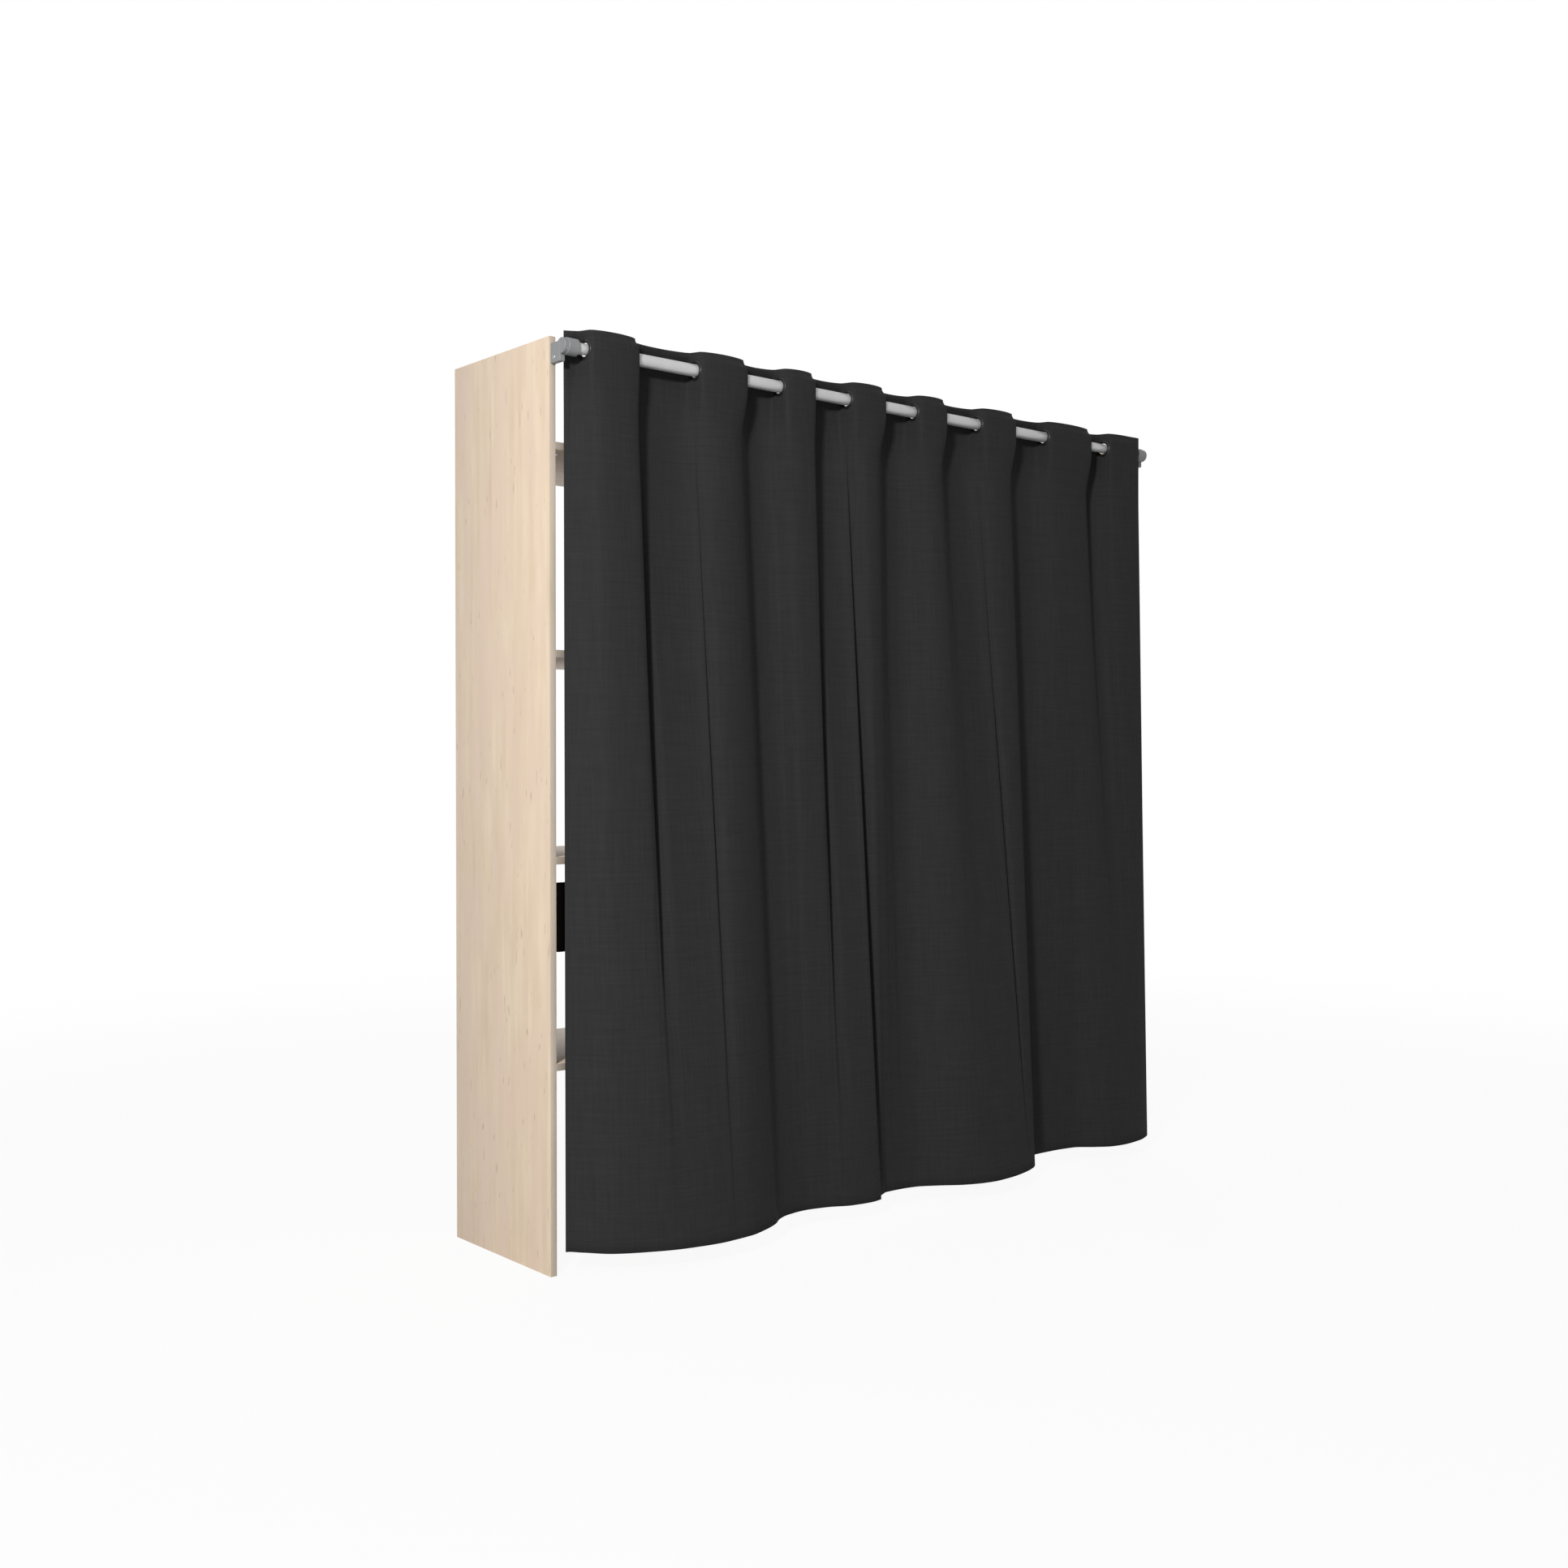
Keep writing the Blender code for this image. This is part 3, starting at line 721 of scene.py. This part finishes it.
# Curtain: eyelets carry it on the rod, and its waves open into broad folds at the hem
curtainSizes = {
    "left": -0.970, "right": 0.957, "tailY": -0.111, "front": -0.101,
    "hem": 0.052, "header": 0.092,  # hem above the floor, and the header band's height
    "thickness": 0.0012,
    # a wave's tilt in degrees on its left, its right and at a sharp fold, then its straight stretch,
    # swell and rounding
    "heldWave": (5.0, 5.0, 5.0, 0.0235, 0.0325, 0.0055),  # at the eyelets
    "looseWave": (24.0, 24.0, 24.0, 0.0110, 0.0245, 0.0070),  # along the top edge
    "foldWave": (47.0, 50.0, 2.0, 0.0120, 0.0290, 0.0165),  # below the eyelets
    "sharpFolds": (2, 6),  # eyelets
    "crestShare": 0.26,  # of a wave's length that its crest's handle spans
    "runSteps": 12, "crestSteps": 24, "tailSteps": 8,
    "lead": (0.35, 0.3),  # where the first stretch bends, as shares of its width and depth
    "tailRise": 0.006, "tailRun": 0.002,  # handles of the last stretch
    "foldFrom": 0.0240, "foldTo": 0.150, "fineTo": 0.105,  # below the eyelets' centres
    "easeIn": 0.07,  # share of the drop over which the folds start to spread
    "hemReach": 0.203,
    "hole": 0.0188, "holeTrim": 0.985,  # faces inside this share of the hole are left out
    "snap": 0.75,  # share of a fine column within which points move onto the hole's edge
    "fine": 0.004, "fineReach": 0.034, "coarse": 0.0085,  # columns at the eyelets and between them
    "leastColumn": 0.002, "rowFine": 0.0042, "rowCoarse": 0.027, "normalStep": 0.002,
}
# Places along the hem, each with its reach as a share of hemReach
hemPlaces = (
    (0.000, 0.06), (0.014, 0.20), (0.035, 0.43), (0.070, 0.63), (0.115, 0.80), (0.165, 0.88),
    (0.200, 0.865), (0.230, 0.785), (0.254, 0.68), (0.272, 0.555), (0.290, 0.487), (0.315, 0.462),
    (0.350, 0.53), (0.380, 0.665), (0.412, 0.71), (0.430, 0.68), (0.444, 0.55), (0.458, 0.485),
    (0.480, 0.495), (0.505, 0.54), (0.532, 0.68), (0.560, 0.86), (0.588, 0.965), (0.612, 1.00),
    (0.640, 0.985), (0.670, 0.93), (0.700, 0.83), (0.716, 0.72), (0.735, 0.46), (0.755, 0.37),
    (0.786, 0.376), (0.834, 0.44), (0.860, 0.62), (0.883, 0.745), (0.908, 0.78), (0.942, 0.75),
    (0.975, 0.64), (1.000, 0.48),
)
# Eyelets whose folds run down to these places along the hem
foldPlaces = ((2, 0.103), (3, 0.178), (4, 0.262), (6, 0.371), (7, 0.430), (9, 0.525), (11, 0.686),
              (12, 0.722), (15, 0.940), (16, 0.986))
# Creases: eyelet, shift along the cloth, step and recovery widths, depths at these shares of the drop
creaseHeights = (0.25, 0.5, 0.75, 1.0)
creases = (
    (2, 0.000, 0.012, 0.060, (0.040, 0.036, 0.006, 0.0)),
    (3, -0.004, 0.005, 0.036, (0.006, 0.010, 0.007, 0.0)),
    (4, 0.000, 0.024, 0.100, (0.004, 0.006, 0.006, 0.0)),
    (6, 0.000, 0.011, 0.054, (0.048, 0.042, 0.010, 0.0)),
    (7, 0.000, 0.007, 0.066, (0.024, 0.058, 0.062, 0.008)),
    (8, 0.000, 0.024, 0.080, (0.002, 0.001, 0.0, 0.0)),
    (10, 0.000, 0.024, 0.080, (0.002, 0.003, 0.002, 0.0)),
    (11, 0.000, 0.005, 0.030, (0.005, 0.015, 0.014, 0.0)),
    (12, 0.000, 0.022, 0.090, (0.003, 0.006, 0.006, 0.0)),
    (14, 0.000, 0.024, 0.080, (0.002, 0.0, 0.0, 0.0)),
    (16, -0.024, 0.006, 0.200, (0.004, 0.018, 0.024, 0.018)),
)
eyeletCentres = []
for number in range(1, 17):
    low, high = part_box(f"eyelet_{number:02d}")
    eyeletCentres.append((low + high) / 2)
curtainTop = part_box("curtain")[1].z
rodY = eyeletCentres[0].y


def eyeletTurn(index, wave):
    if index == len(eyeletCentres) - 1:
        return 0.0
    if index + 1 in curtainSizes["sharpFolds"]:
        return -radians(wave[2])
    return radians(wave[0]) if index % 2 == 0 else -radians(wave[1])


def clamp(value, low=0.0, high=1.0):
    return min(max(value, low), high)


def smooth(value, low, high):
    share = clamp((value - low) / (high - low))
    return share * share * (3 - 2 * share)


# Straight lines between (at, value) pairs
def between(at, pairs):
    for (x0, y0), (x1, y1) in zip(pairs, pairs[1:]):
        if at <= x1:
            return y0 + (y1 - y0) * (at - x0) / (x1 - x0)
    return pairs[-1][1]


def bezier(points, steps):
    made = []
    for step in range(1, steps + 1):
        t = step / steps
        weights = ((1 - t) ** 3, 3 * t * (1 - t) ** 2, 3 * t * t * (1 - t), t ** 3)
        made.append(sum(w * p for w, p in zip(weights, points)))
    return made


# The header seen from above, as close points of the cloth's middle, each as x + y * 1j
def headerLine(sizes, wave):
    flat, swell, rounding = wave[3:]
    runSteps, crestSteps = pick(sizes, "runSteps crestSteps")
    line = [complex(sizes["left"], sizes["tailY"])]
    for index, centre in enumerate(eyeletCentres):
        if index == len(eyeletCentres) - 1:
            flat, rounding = sizes["heldWave"][3], sizes["heldWave"][5]
        turn = abs(eyeletTurn(index, wave))
        way = -1 if index % 2 == 0 else 1
        heading = complex(sin(turn), cos(turn) * way)
        crossing = complex(centre.x, rodY)
        start, end = crossing - heading * flat, crossing + heading * flat
        arriving = start - heading * rounding
        before = line[-1]
        gap = start - before
        if index == 0:
            lead = before + complex(gap.real * sizes["lead"][0], gap.imag * sizes["lead"][1])
            line += bezier((before, lead, arriving, start), runSteps)
        else:
            crest = complex(before.real + gap.real / 2, rodY - way * swell)
            handle = gap.real * sizes["crestShare"]
            leaving = before + heading.conjugate() * rounding
            line += bezier((before, leaving, crest - handle, crest), crestSteps)
            line += bezier((crest, crest + handle, arriving, start), crestSteps)
        line += [start + (end - start) * step / runSteps for step in range(1, runSteps + 1)]
    before, tail = line[-1], complex(sizes["right"], sizes["tailY"])
    handles = (before + sizes["tailRise"] * 1j, tail - sizes["tailRun"])
    return line + bezier((before, *handles, tail), sizes["tailSteps"])


# A smooth curve through the hem's places, flat at each crest and hollow
def hemShare(at):
    last = len(hemPlaces) - 1
    index = max(i for i in range(last) if hemPlaces[i][0] <= at)

    def slope(i):
        if i in (0, last):
            return 0.0
        (x0, y0), (x1, y1), (x2, y2) = hemPlaces[i - 1:i + 2]
        before, after = (y1 - y0) / (x1 - x0), (y2 - y1) / (x2 - x1)
        return 2 * before * after / (before + after) if before * after > 0 else 0.0

    (x0, y0), (x1, y1) = hemPlaces[index], hemPlaces[index + 1]
    span = x1 - x0
    t = (at - x0) / span
    return (y0 * (1 + 2 * t) * (1 - t) ** 2 + slope(index) * span * t * (1 - t) ** 2
            + y1 * t * t * (3 - 2 * t) - slope(index + 1) * span * t * t * (1 - t))


class Cloth:
    def __init__(self, sizes):
        self.sizes = sizes
        waves = pick(sizes, "heldWave looseWave foldWave")
        self.line, self.loose, self.folded = [headerLine(sizes, wave) for wave in waves]
        self.lengths = [0.0]
        for start, end in zip(self.line, self.line[1:]):
            self.lengths.append(self.lengths[-1] + abs(end - start))
        self.width = self.lengths[-1]
        self.crossings = [self.lengthAt(centre.x) for centre in eyeletCentres]
        self.spread = [(0.0, 0.0)]
        self.spread += [(self.crossings[number - 1] / self.width, place) for number, place in foldPlaces]
        self.spread.append((1.0, 1.0))

    def lengthAt(self, x):
        away = [abs(place.real - x) + abs(place.imag - rodY) for place in self.line]
        return self.lengths[away.index(min(away))]

    def header(self, along, z):
        ring, flat = eyeletCentres[0].z, self.sizes["heldWave"][3]
        free = clamp((z - ring - flat) / (curtainTop - ring - flat))
        free *= 2 - free
        fold = smooth(ring - z, self.sizes["foldFrom"], self.sizes["foldTo"])
        along = clamp(along, 0.0, self.width)
        high = min(bisect_right(self.lengths, along), len(self.lengths) - 1)
        low = high - 1
        share = (along - self.lengths[low]) / max(self.lengths[high] - self.lengths[low], 1e-9)
        weights = (1 - free - fold, free, fold)
        return sum((line[low] + (line[high] - line[low]) * share) * weight
                   for line, weight in zip((self.line, self.loose, self.folded), weights))

    def crease(self, along, fall):
        total = 0.0
        for number, shift, step, recovery, depths in creases:
            past = along - self.crossings[number - 1] - shift
            if -step < past < recovery:
                depth = between(fall, [(0.0, 0.0), *zip(creaseHeights, depths)])
                total += depth * smooth(past, -step, step) * (1 - smooth(past, step, recovery))
        return total

    def point(self, along, z):
        sizes = self.sizes
        hung = self.header(along, z)
        base = curtainTop - sizes["header"]
        fall = clamp((base - z) / (base - sizes["hem"]))
        ease = sizes["easeIn"]
        eased = fall * fall / (2 * ease) if fall < ease else fall - ease / 2
        eased /= 1 - ease / 2
        share = between(clamp(along / self.width), self.spread)
        hemX = sizes["left"] + (sizes["right"] - sizes["left"]) * share
        hemY = sizes["front"] - sizes["hemReach"] * hemShare(share)
        deep = self.crease(along, fall)
        place = hung + (complex(hemX, hemY) - hung) * eased
        return Vector((place.real, place.imag + deep, z))

    def normal(self, along, z):
        step = self.sizes["normalStep"]
        across = self.point(along + step, z) - self.point(along - step, z)
        down = self.point(along, z - step) - self.point(along, z + step)
        return down.cross(across).normalized()

    def nearest(self, along):
        return min(self.crossings, key=lambda crossing: abs(along - crossing))

    def columns(self):
        sizes, places, along = self.sizes, [0.0], 0.0
        while along < self.width:
            close = abs(along - self.nearest(along)) < sizes["fineReach"]
            along += sizes["fine"] if close else sizes["coarse"]
            places.append(min(along, self.width))
        if places[-1] - places[-2] < sizes["leastColumn"]:
            places.pop(-2)
        return places

    def rows(self):
        top, base = curtainTop, eyeletCentres[0].z - self.sizes["fineTo"]
        count = round((top - base) / self.sizes["rowFine"])
        heights = [top - (top - base) * i / count for i in range(count)]
        count = round((base - self.sizes["hem"]) / self.sizes["rowCoarse"])
        return heights + [base - (base - self.sizes["hem"]) * i / count for i in range(count + 1)]


cloth = Cloth(curtainSizes)


def makeSheet(name, columns, rows, offset, thickness):
    sizes, holeZ = cloth.sizes, eyeletCentres[0].z
    hole, fine = sizes["hole"], sizes["fine"]
    shape = bmesh.new()
    threads = shape.loops.layers.uv.new("clothThreads")
    grid, flat = [], {}
    for z in rows:
        line = []
        for along in columns:
            place, height = along, z
            if z > curtainTop - sizes["header"]:
                centre = cloth.nearest(along)
                gap = Vector((along - centre, z - holeZ))
                if hole - fine < gap.length < hole + fine * sizes["snap"]:
                    gap = gap.normalized() * hole
                    place, height = centre + gap.x, holeZ + gap.y
            spot = cloth.point(place, height)
            if offset:
                spot += cloth.normal(place, height) * offset
            vert = shape.verts.new(spot)
            flat[vert] = (place, height)
            line.append(vert)
        grid.append(line)
    for upper, lower in zip(grid, grid[1:]):
        for index in range(len(columns) - 1):
            corners = (lower[index], lower[index + 1], upper[index + 1], upper[index])
            middle = [sum(flat[v][axis] for v in corners) / 4 for axis in (0, 1)]
            gap = Vector((middle[0] - cloth.nearest(middle[0]), middle[1] - holeZ))
            if gap.length < hole * sizes["holeTrim"]:
                continue
            for loop in shape.faces.new(corners).loops:
                loop[threads].uv = flat[loop.vert]
    bmesh.ops.delete(shape, geom=[v for v in shape.verts if not v.link_faces], context="VERTS")
    sheet = finishShape(f"{name}Flat", shape, [charcoalCanvas], 0)
    sheet.data.shade_smooth()
    solid = sheet.modifiers.new("solid", "SOLIDIFY")
    solid.thickness = thickness
    solid.offset = 0
    return settle(sheet, name)


def flatArea(columns, rows):
    total = 0.0
    for upper, lower in zip(rows, rows[1:]):
        for start, end in zip(columns, columns[1:]):
            corners = [cloth.point(a, z) for a, z in
                       ((start, upper), (end, upper), (end, lower), (start, lower))]
            total += (corners[2] - corners[0]).cross(corners[3] - corners[1]).length / 2
    return total


facingSizes = {"hem": 0.030, "side": 0.016, "thickness": 0.0007, "offset": 0.00105, "inset": 0.0015,
               "apart": 0.002, "headerInset": 0.0005, "sideColumns": 4}


def makeCurtain(facing):
    columns, rows = cloth.columns(), cloth.rows()
    inset, hem, side, apart, count = pick(facing, "inset hem side apart sideColumns")
    low, top = cloth.sizes["hem"] + inset, curtainTop - inset
    base, end = curtainTop - cloth.sizes["header"], cloth.width - inset
    inside = [inset] + [c for c in columns if inset < c < end] + [end]
    header = [top] + [z for z in rows if base < z < top] + [base + facing["headerInset"]]
    flank = [z for z in rows if low + hem + apart < z < base - apart]
    strips = [("hem", inside, [low + hem, low + hem / 2, low]), ("header", inside, header)]
    for edge, start in (("left_edge", inset), ("right_edge", end - side)):
        strips.append((edge, [start + side * i / count for i in range(count + 1)], flank))
    pieces = [makeSheet("curtain_cloth", columns, rows, 0, cloth.sizes["thickness"])]
    for name, across, heights in strips:
        pieces.append(makeSheet(f"curtain_{name}_facing", across, heights, -facing["offset"],
                                facing["thickness"]))
    return pieces, flatArea(columns, rows)


curtainPieces, clothArea = makeCurtain(facingSizes)
print("curtain made, header", round(cloth.width, 3), "area", round(clothArea, 3))


# Stitches along the hem, the header and both edges
stitchSizes = {
    "length": 0.0032, "pitch": 0.0046, "radius": 0.00032, "sink": 0.00008,
    "hemRow": 0.027, "headerRow": 0.0895, "edgeRow": 0.0135,
    "margin": 0.004,  # at both ends of the hem's and the header's row
    "edgeFrom": 0.03, "edgeShort": 0.125,  # start above the hem, and how much less than the height
    "acrossSteps": 900, "dropSteps": 160,
}


def makeStitchTree():
    tree, given, out = newTree("stitchRow", {
        "Line": "Object", "Pitch": 0.0046, "Length": 0.0032, "Radius": 0.0003})
    line = nodeOut(tree, "GeometryNodeMeshToCurve", {"Mesh": shapeOf(tree, given["Line"])})
    points = addNode(tree, "GeometryNodeCurveToPoints",
                     {"Curve": line, "Length": given["Pitch"]}, mode="LENGTH")
    thread = nodeOut(tree, "GeometryNodeMeshCylinder", {
        "Vertices": 6, "Radius": given["Radius"], "Depth": given["Length"]}, fill_type="NGON")
    thread = nodeOut(tree, "GeometryNodeSetShadeSmooth", {"Geometry": thread})
    turn = nodeOut(tree, "FunctionNodeAlignRotationToVector",
                   {"Vector": points.outputs["Tangent"]}, axis="Z")
    return scatter(tree, given, out, points.outputs["Points"], thread, turn)


stitchRow = makeStitchTree()


def makeStitches(sizes):
    rise = cloth.sizes["thickness"] / 2 + sizes["radius"] - sizes["sink"]
    back = facingSizes["offset"] + facingSizes["thickness"] / 2 + sizes["radius"] - sizes["sink"]
    hem, margin = cloth.sizes["hem"], sizes["margin"]
    length, height = cloth.width - 2 * margin, curtainTop - hem - sizes["edgeShort"]
    steps, downSteps = sizes["acrossSteps"], sizes["dropSteps"]
    across = [margin + length * i / steps for i in range(steps + 1)]
    drop = [hem + sizes["edgeFrom"] + height * i / downSteps for i in range(downSteps + 1)]
    lines = (
        ("hem", rise, [(a, hem + sizes["hemRow"]) for a in across]),
        ("header", -back, [(a, curtainTop - sizes["headerRow"]) for a in across]),
        ("left_edge", rise, [(sizes["edgeRow"], z) for z in drop]),
        ("right_edge", rise, [(cloth.width - sizes["edgeRow"], z) for z in drop]),
    )
    made = []
    for name, lift, places in lines:
        points = [cloth.point(a, z) + cloth.normal(a, z) * lift for a, z in places]
        line = lineObject(f"{name}Line", points)
        made.append(grow(f"curtain_{name}_stitches", stitchRow, {
            "Line": line, "Pitch": sizes["pitch"], "Length": sizes["length"],
            "Radius": sizes["radius"], "Finish": charcoalThread}))
        remove(line)
    return made


stitchPieces = makeStitches(stitchSizes)
print("stitches made")


# Eyelets: two pressed rings closed over the cloth, each but the last on its own slider
eyeletSizes = {
    "bore": 0.0148, "rim": 0.0226, "neck": 0.0016, "plate": 0.0010, "gap": 0.0008,
    "crown": 0.00063, "dome": 0.0002,  # rise of the face over the plate, and of its middle over that
    "lip": 0.0011, "boreRoll": 0.0003, "rimDrop": 0.0005,  # rounding at the bore and at the rim
    "boreShares": (0.55, 0.9),  # of the half thickness, at the bore
    "lift": 0.0012, "sides": 40, "sharp": 50,
}


def makeEyelet(index, sizes):
    node = f"eyelet_{index + 1:02d}"
    bore, rim, gap, lip, dome = pick(sizes, "bore rim gap lip dome")
    half = gap + sizes["plate"]
    crown = half + sizes["crown"]
    inner, outer = sizes["boreShares"]
    face = [
        (half * inner, bore), (half * outer, bore + sizes["boreRoll"]), (crown, bore + lip),
        (crown + dome, (bore + rim) / 2), (crown - dome, rim - lip),
        (half - sizes["rimDrop"], rim - dome), (gap, rim)]
    neck = bore + sizes["neck"]
    section = face + [(gap, neck), (-gap, neck)] + [(-x, r) for x, r in reversed(face)]
    centre = eyeletCentres[index] + Vector((0, 0, sizes["lift"]))
    ring = ringPiece(f"{node}_pressed", section, bore, centre, eyeletLacquer, sizes["sides"],
                     eyeletTurn(index, cloth.sizes["heldWave"]), sizes["sharp"])
    body = "carcass" if index == len(eyeletCentres) - 1 else f"eyelet_slider_{index + 1:02d}"
    dress(ring, body, node)


for index in range(len(eyeletCentres)):
    makeEyelet(index, eyeletSizes)

for piece in curtainPieces + stitchPieces:
    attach(piece, "carcass")
    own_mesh(piece)
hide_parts("curtain")
print("eyelets made, curtain hung")


# Cam fittings in the shelves' undersides
fittingSizes = {"radius": 0.0075, "proud": 0.0003, "edge": 0.0003, "fromEnd": 0.034,
                "fromEdge": 0.060, "slot": 0.0016, "slotReach": 1.2, "sides": 24,
                "wall": 0.6}  # share of the height below the rounded edge


def makeFittingTree():
    tree, given, out = newTree("shelfFittings", {"Places": "Object", "Fitting": "Object"})
    return scatter(tree, given, out, shapeOf(tree, given["Places"]), shapeOf(tree, given["Fitting"]))


def makeFittings(sizes):
    radius, proud, edge, wall = pick(sizes, "radius proud edge wall")
    profile = [(0, 0), (0, radius), (proud * wall, radius), (proud, radius - edge), (proud, 0)]
    disc = turnedSolid("camDisc", profile, (0, 0, 0), sizes["sides"], zincSteel)
    size = (proud, radius * sizes["slotReach"], sizes["slot"])
    cut(disc, crossTools("discSlot", size, (0, pi / 2), (proud, 0, 0)))
    disc.data.transform(Matrix.Rotation(pi / 2, 4, "Y"))
    points = []
    for side in ("left", "right"):
        for number in range(1, 5):
            low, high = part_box(f"{side}_shelf_{number}")
            for x in (low.x + sizes["fromEnd"], high.x - sizes["fromEnd"]):
                for y in (low.y + sizes["fromEdge"], high.y - sizes["fromEdge"]):
                    points.append((x, y, low.z))
    places = lineObject("fittingPlaces", points)
    fittings = grow("shelf_cam_fittings", makeFittingTree(), {
        "Places": places, "Fitting": disc, "Finish": zincSteel})
    remove(places, disc)
    dress(fittings, "carcass", None)


makeFittings(fittingSizes)
print("shelf fittings made")


# Floor, white surroundings and soft light
studioSizes = {
    "floor": 60.0, "floorColour": (0.80, 0.80, 0.80), "floorRoughness": 0.8, "floorShine": 0.1,
    "world": 0.27,  # the white surroundings' light on the object
    "cameraShare": 0.93, "fadeFrom": 2.2, "fadeTo": 5.5,  # the floor's own white near and far
    "keyPlace": (-4.5, -3.15, 3.0), "keySize": 0.6, "keyPower": 210.0,
    "fillPlace": (4.2, 4.6, 3.2), "fillSize": 2.5, "fillPower": 90.0,
    "aim": (-0.2, -0.1, 1.1),
}


# One for rays that show the surroundings to the camera, zero for rays that only light the object
def seenDirectly(tree):
    rays = addNode(tree, "ShaderNodeLightPath").outputs
    seen = calculate(tree, "MAXIMUM", rays["Is Camera Ray"], rays["Is Glossy Ray"])
    return calculate(tree, "MAXIMUM", seen, rays["Is Transmission Ray"])


def makeFloor(sizes):
    half = sizes["floor"] / 2
    mesh = bpy.data.meshes.new("floor")
    corners = [(-half, -half, 0), (half, -half, 0), (half, half, 0), (-half, half, 0)]
    mesh.from_pydata(corners, [], [(0, 1, 2, 3)])
    floor = addObject("floor", mesh)
    material = bpy.data.materials.new("paleFloor")
    material.use_nodes = True
    tree = material.node_tree
    shader = tree.nodes["Principled BSDF"]
    shader.inputs["Base Color"].default_value = (*sizes["floorColour"], 1.0)
    shader.inputs["Roughness"].default_value = sizes["floorRoughness"]
    shader.inputs["Specular IOR Level"].default_value = sizes["floorShine"]
    glow = nodeOut(tree, "ShaderNodeEmission", {"Strength": 1.0})
    seen = seenDirectly(tree)
    place = addNode(tree, "ShaderNodeTexCoord").outputs["Object"]
    away = addNode(tree, "ShaderNodeVectorMath", {0: place}, operation="LENGTH").outputs["Value"]
    glowing = mapRange(tree, away, sizes["fadeFrom"], sizes["fadeTo"], sizes["cameraShare"], 1.0)
    mixed = nodeOut(tree, "ShaderNodeMixShader",
                    {0: times(tree, seen, glowing), 1: shader.outputs[0], 2: glow})
    tree.links.new(mixed, tree.nodes["Material Output"].inputs["Surface"])
    mesh.materials.append(material)


def makeWorld(sizes):
    world = bpy.data.worlds.new("whiteRoom")
    scene.world = world
    world.use_nodes = True
    tree = world.node_tree
    strength = mapRange(tree, seenDirectly(tree), 0.0, 1.0, sizes["world"], 1.0)
    background = tree.nodes["Background"]
    background.inputs["Color"].default_value = (1.0, 1.0, 1.0, 1.0)
    tree.links.new(strength, background.inputs["Strength"])


def makeLamp(kind, sizes):
    data = bpy.data.lights.new(f"{kind}Lamp", "AREA")
    data.shape = "DISK"
    data.size = sizes[f"{kind}Size"]
    data.energy = sizes[f"{kind}Power"]
    lamp = addObject(f"{kind}Lamp", data)
    lamp.location = sizes[f"{kind}Place"]
    lamp.rotation_euler = (Vector(sizes["aim"]) - lamp.location).to_track_quat("-Z", "Y").to_euler()


makeFloor(studioSizes)
makeWorld(studioSizes)
makeLamp("key", studioSizes)
makeLamp("fill", studioSizes)
scene.view_settings.view_transform = "Standard"
print("studio set")
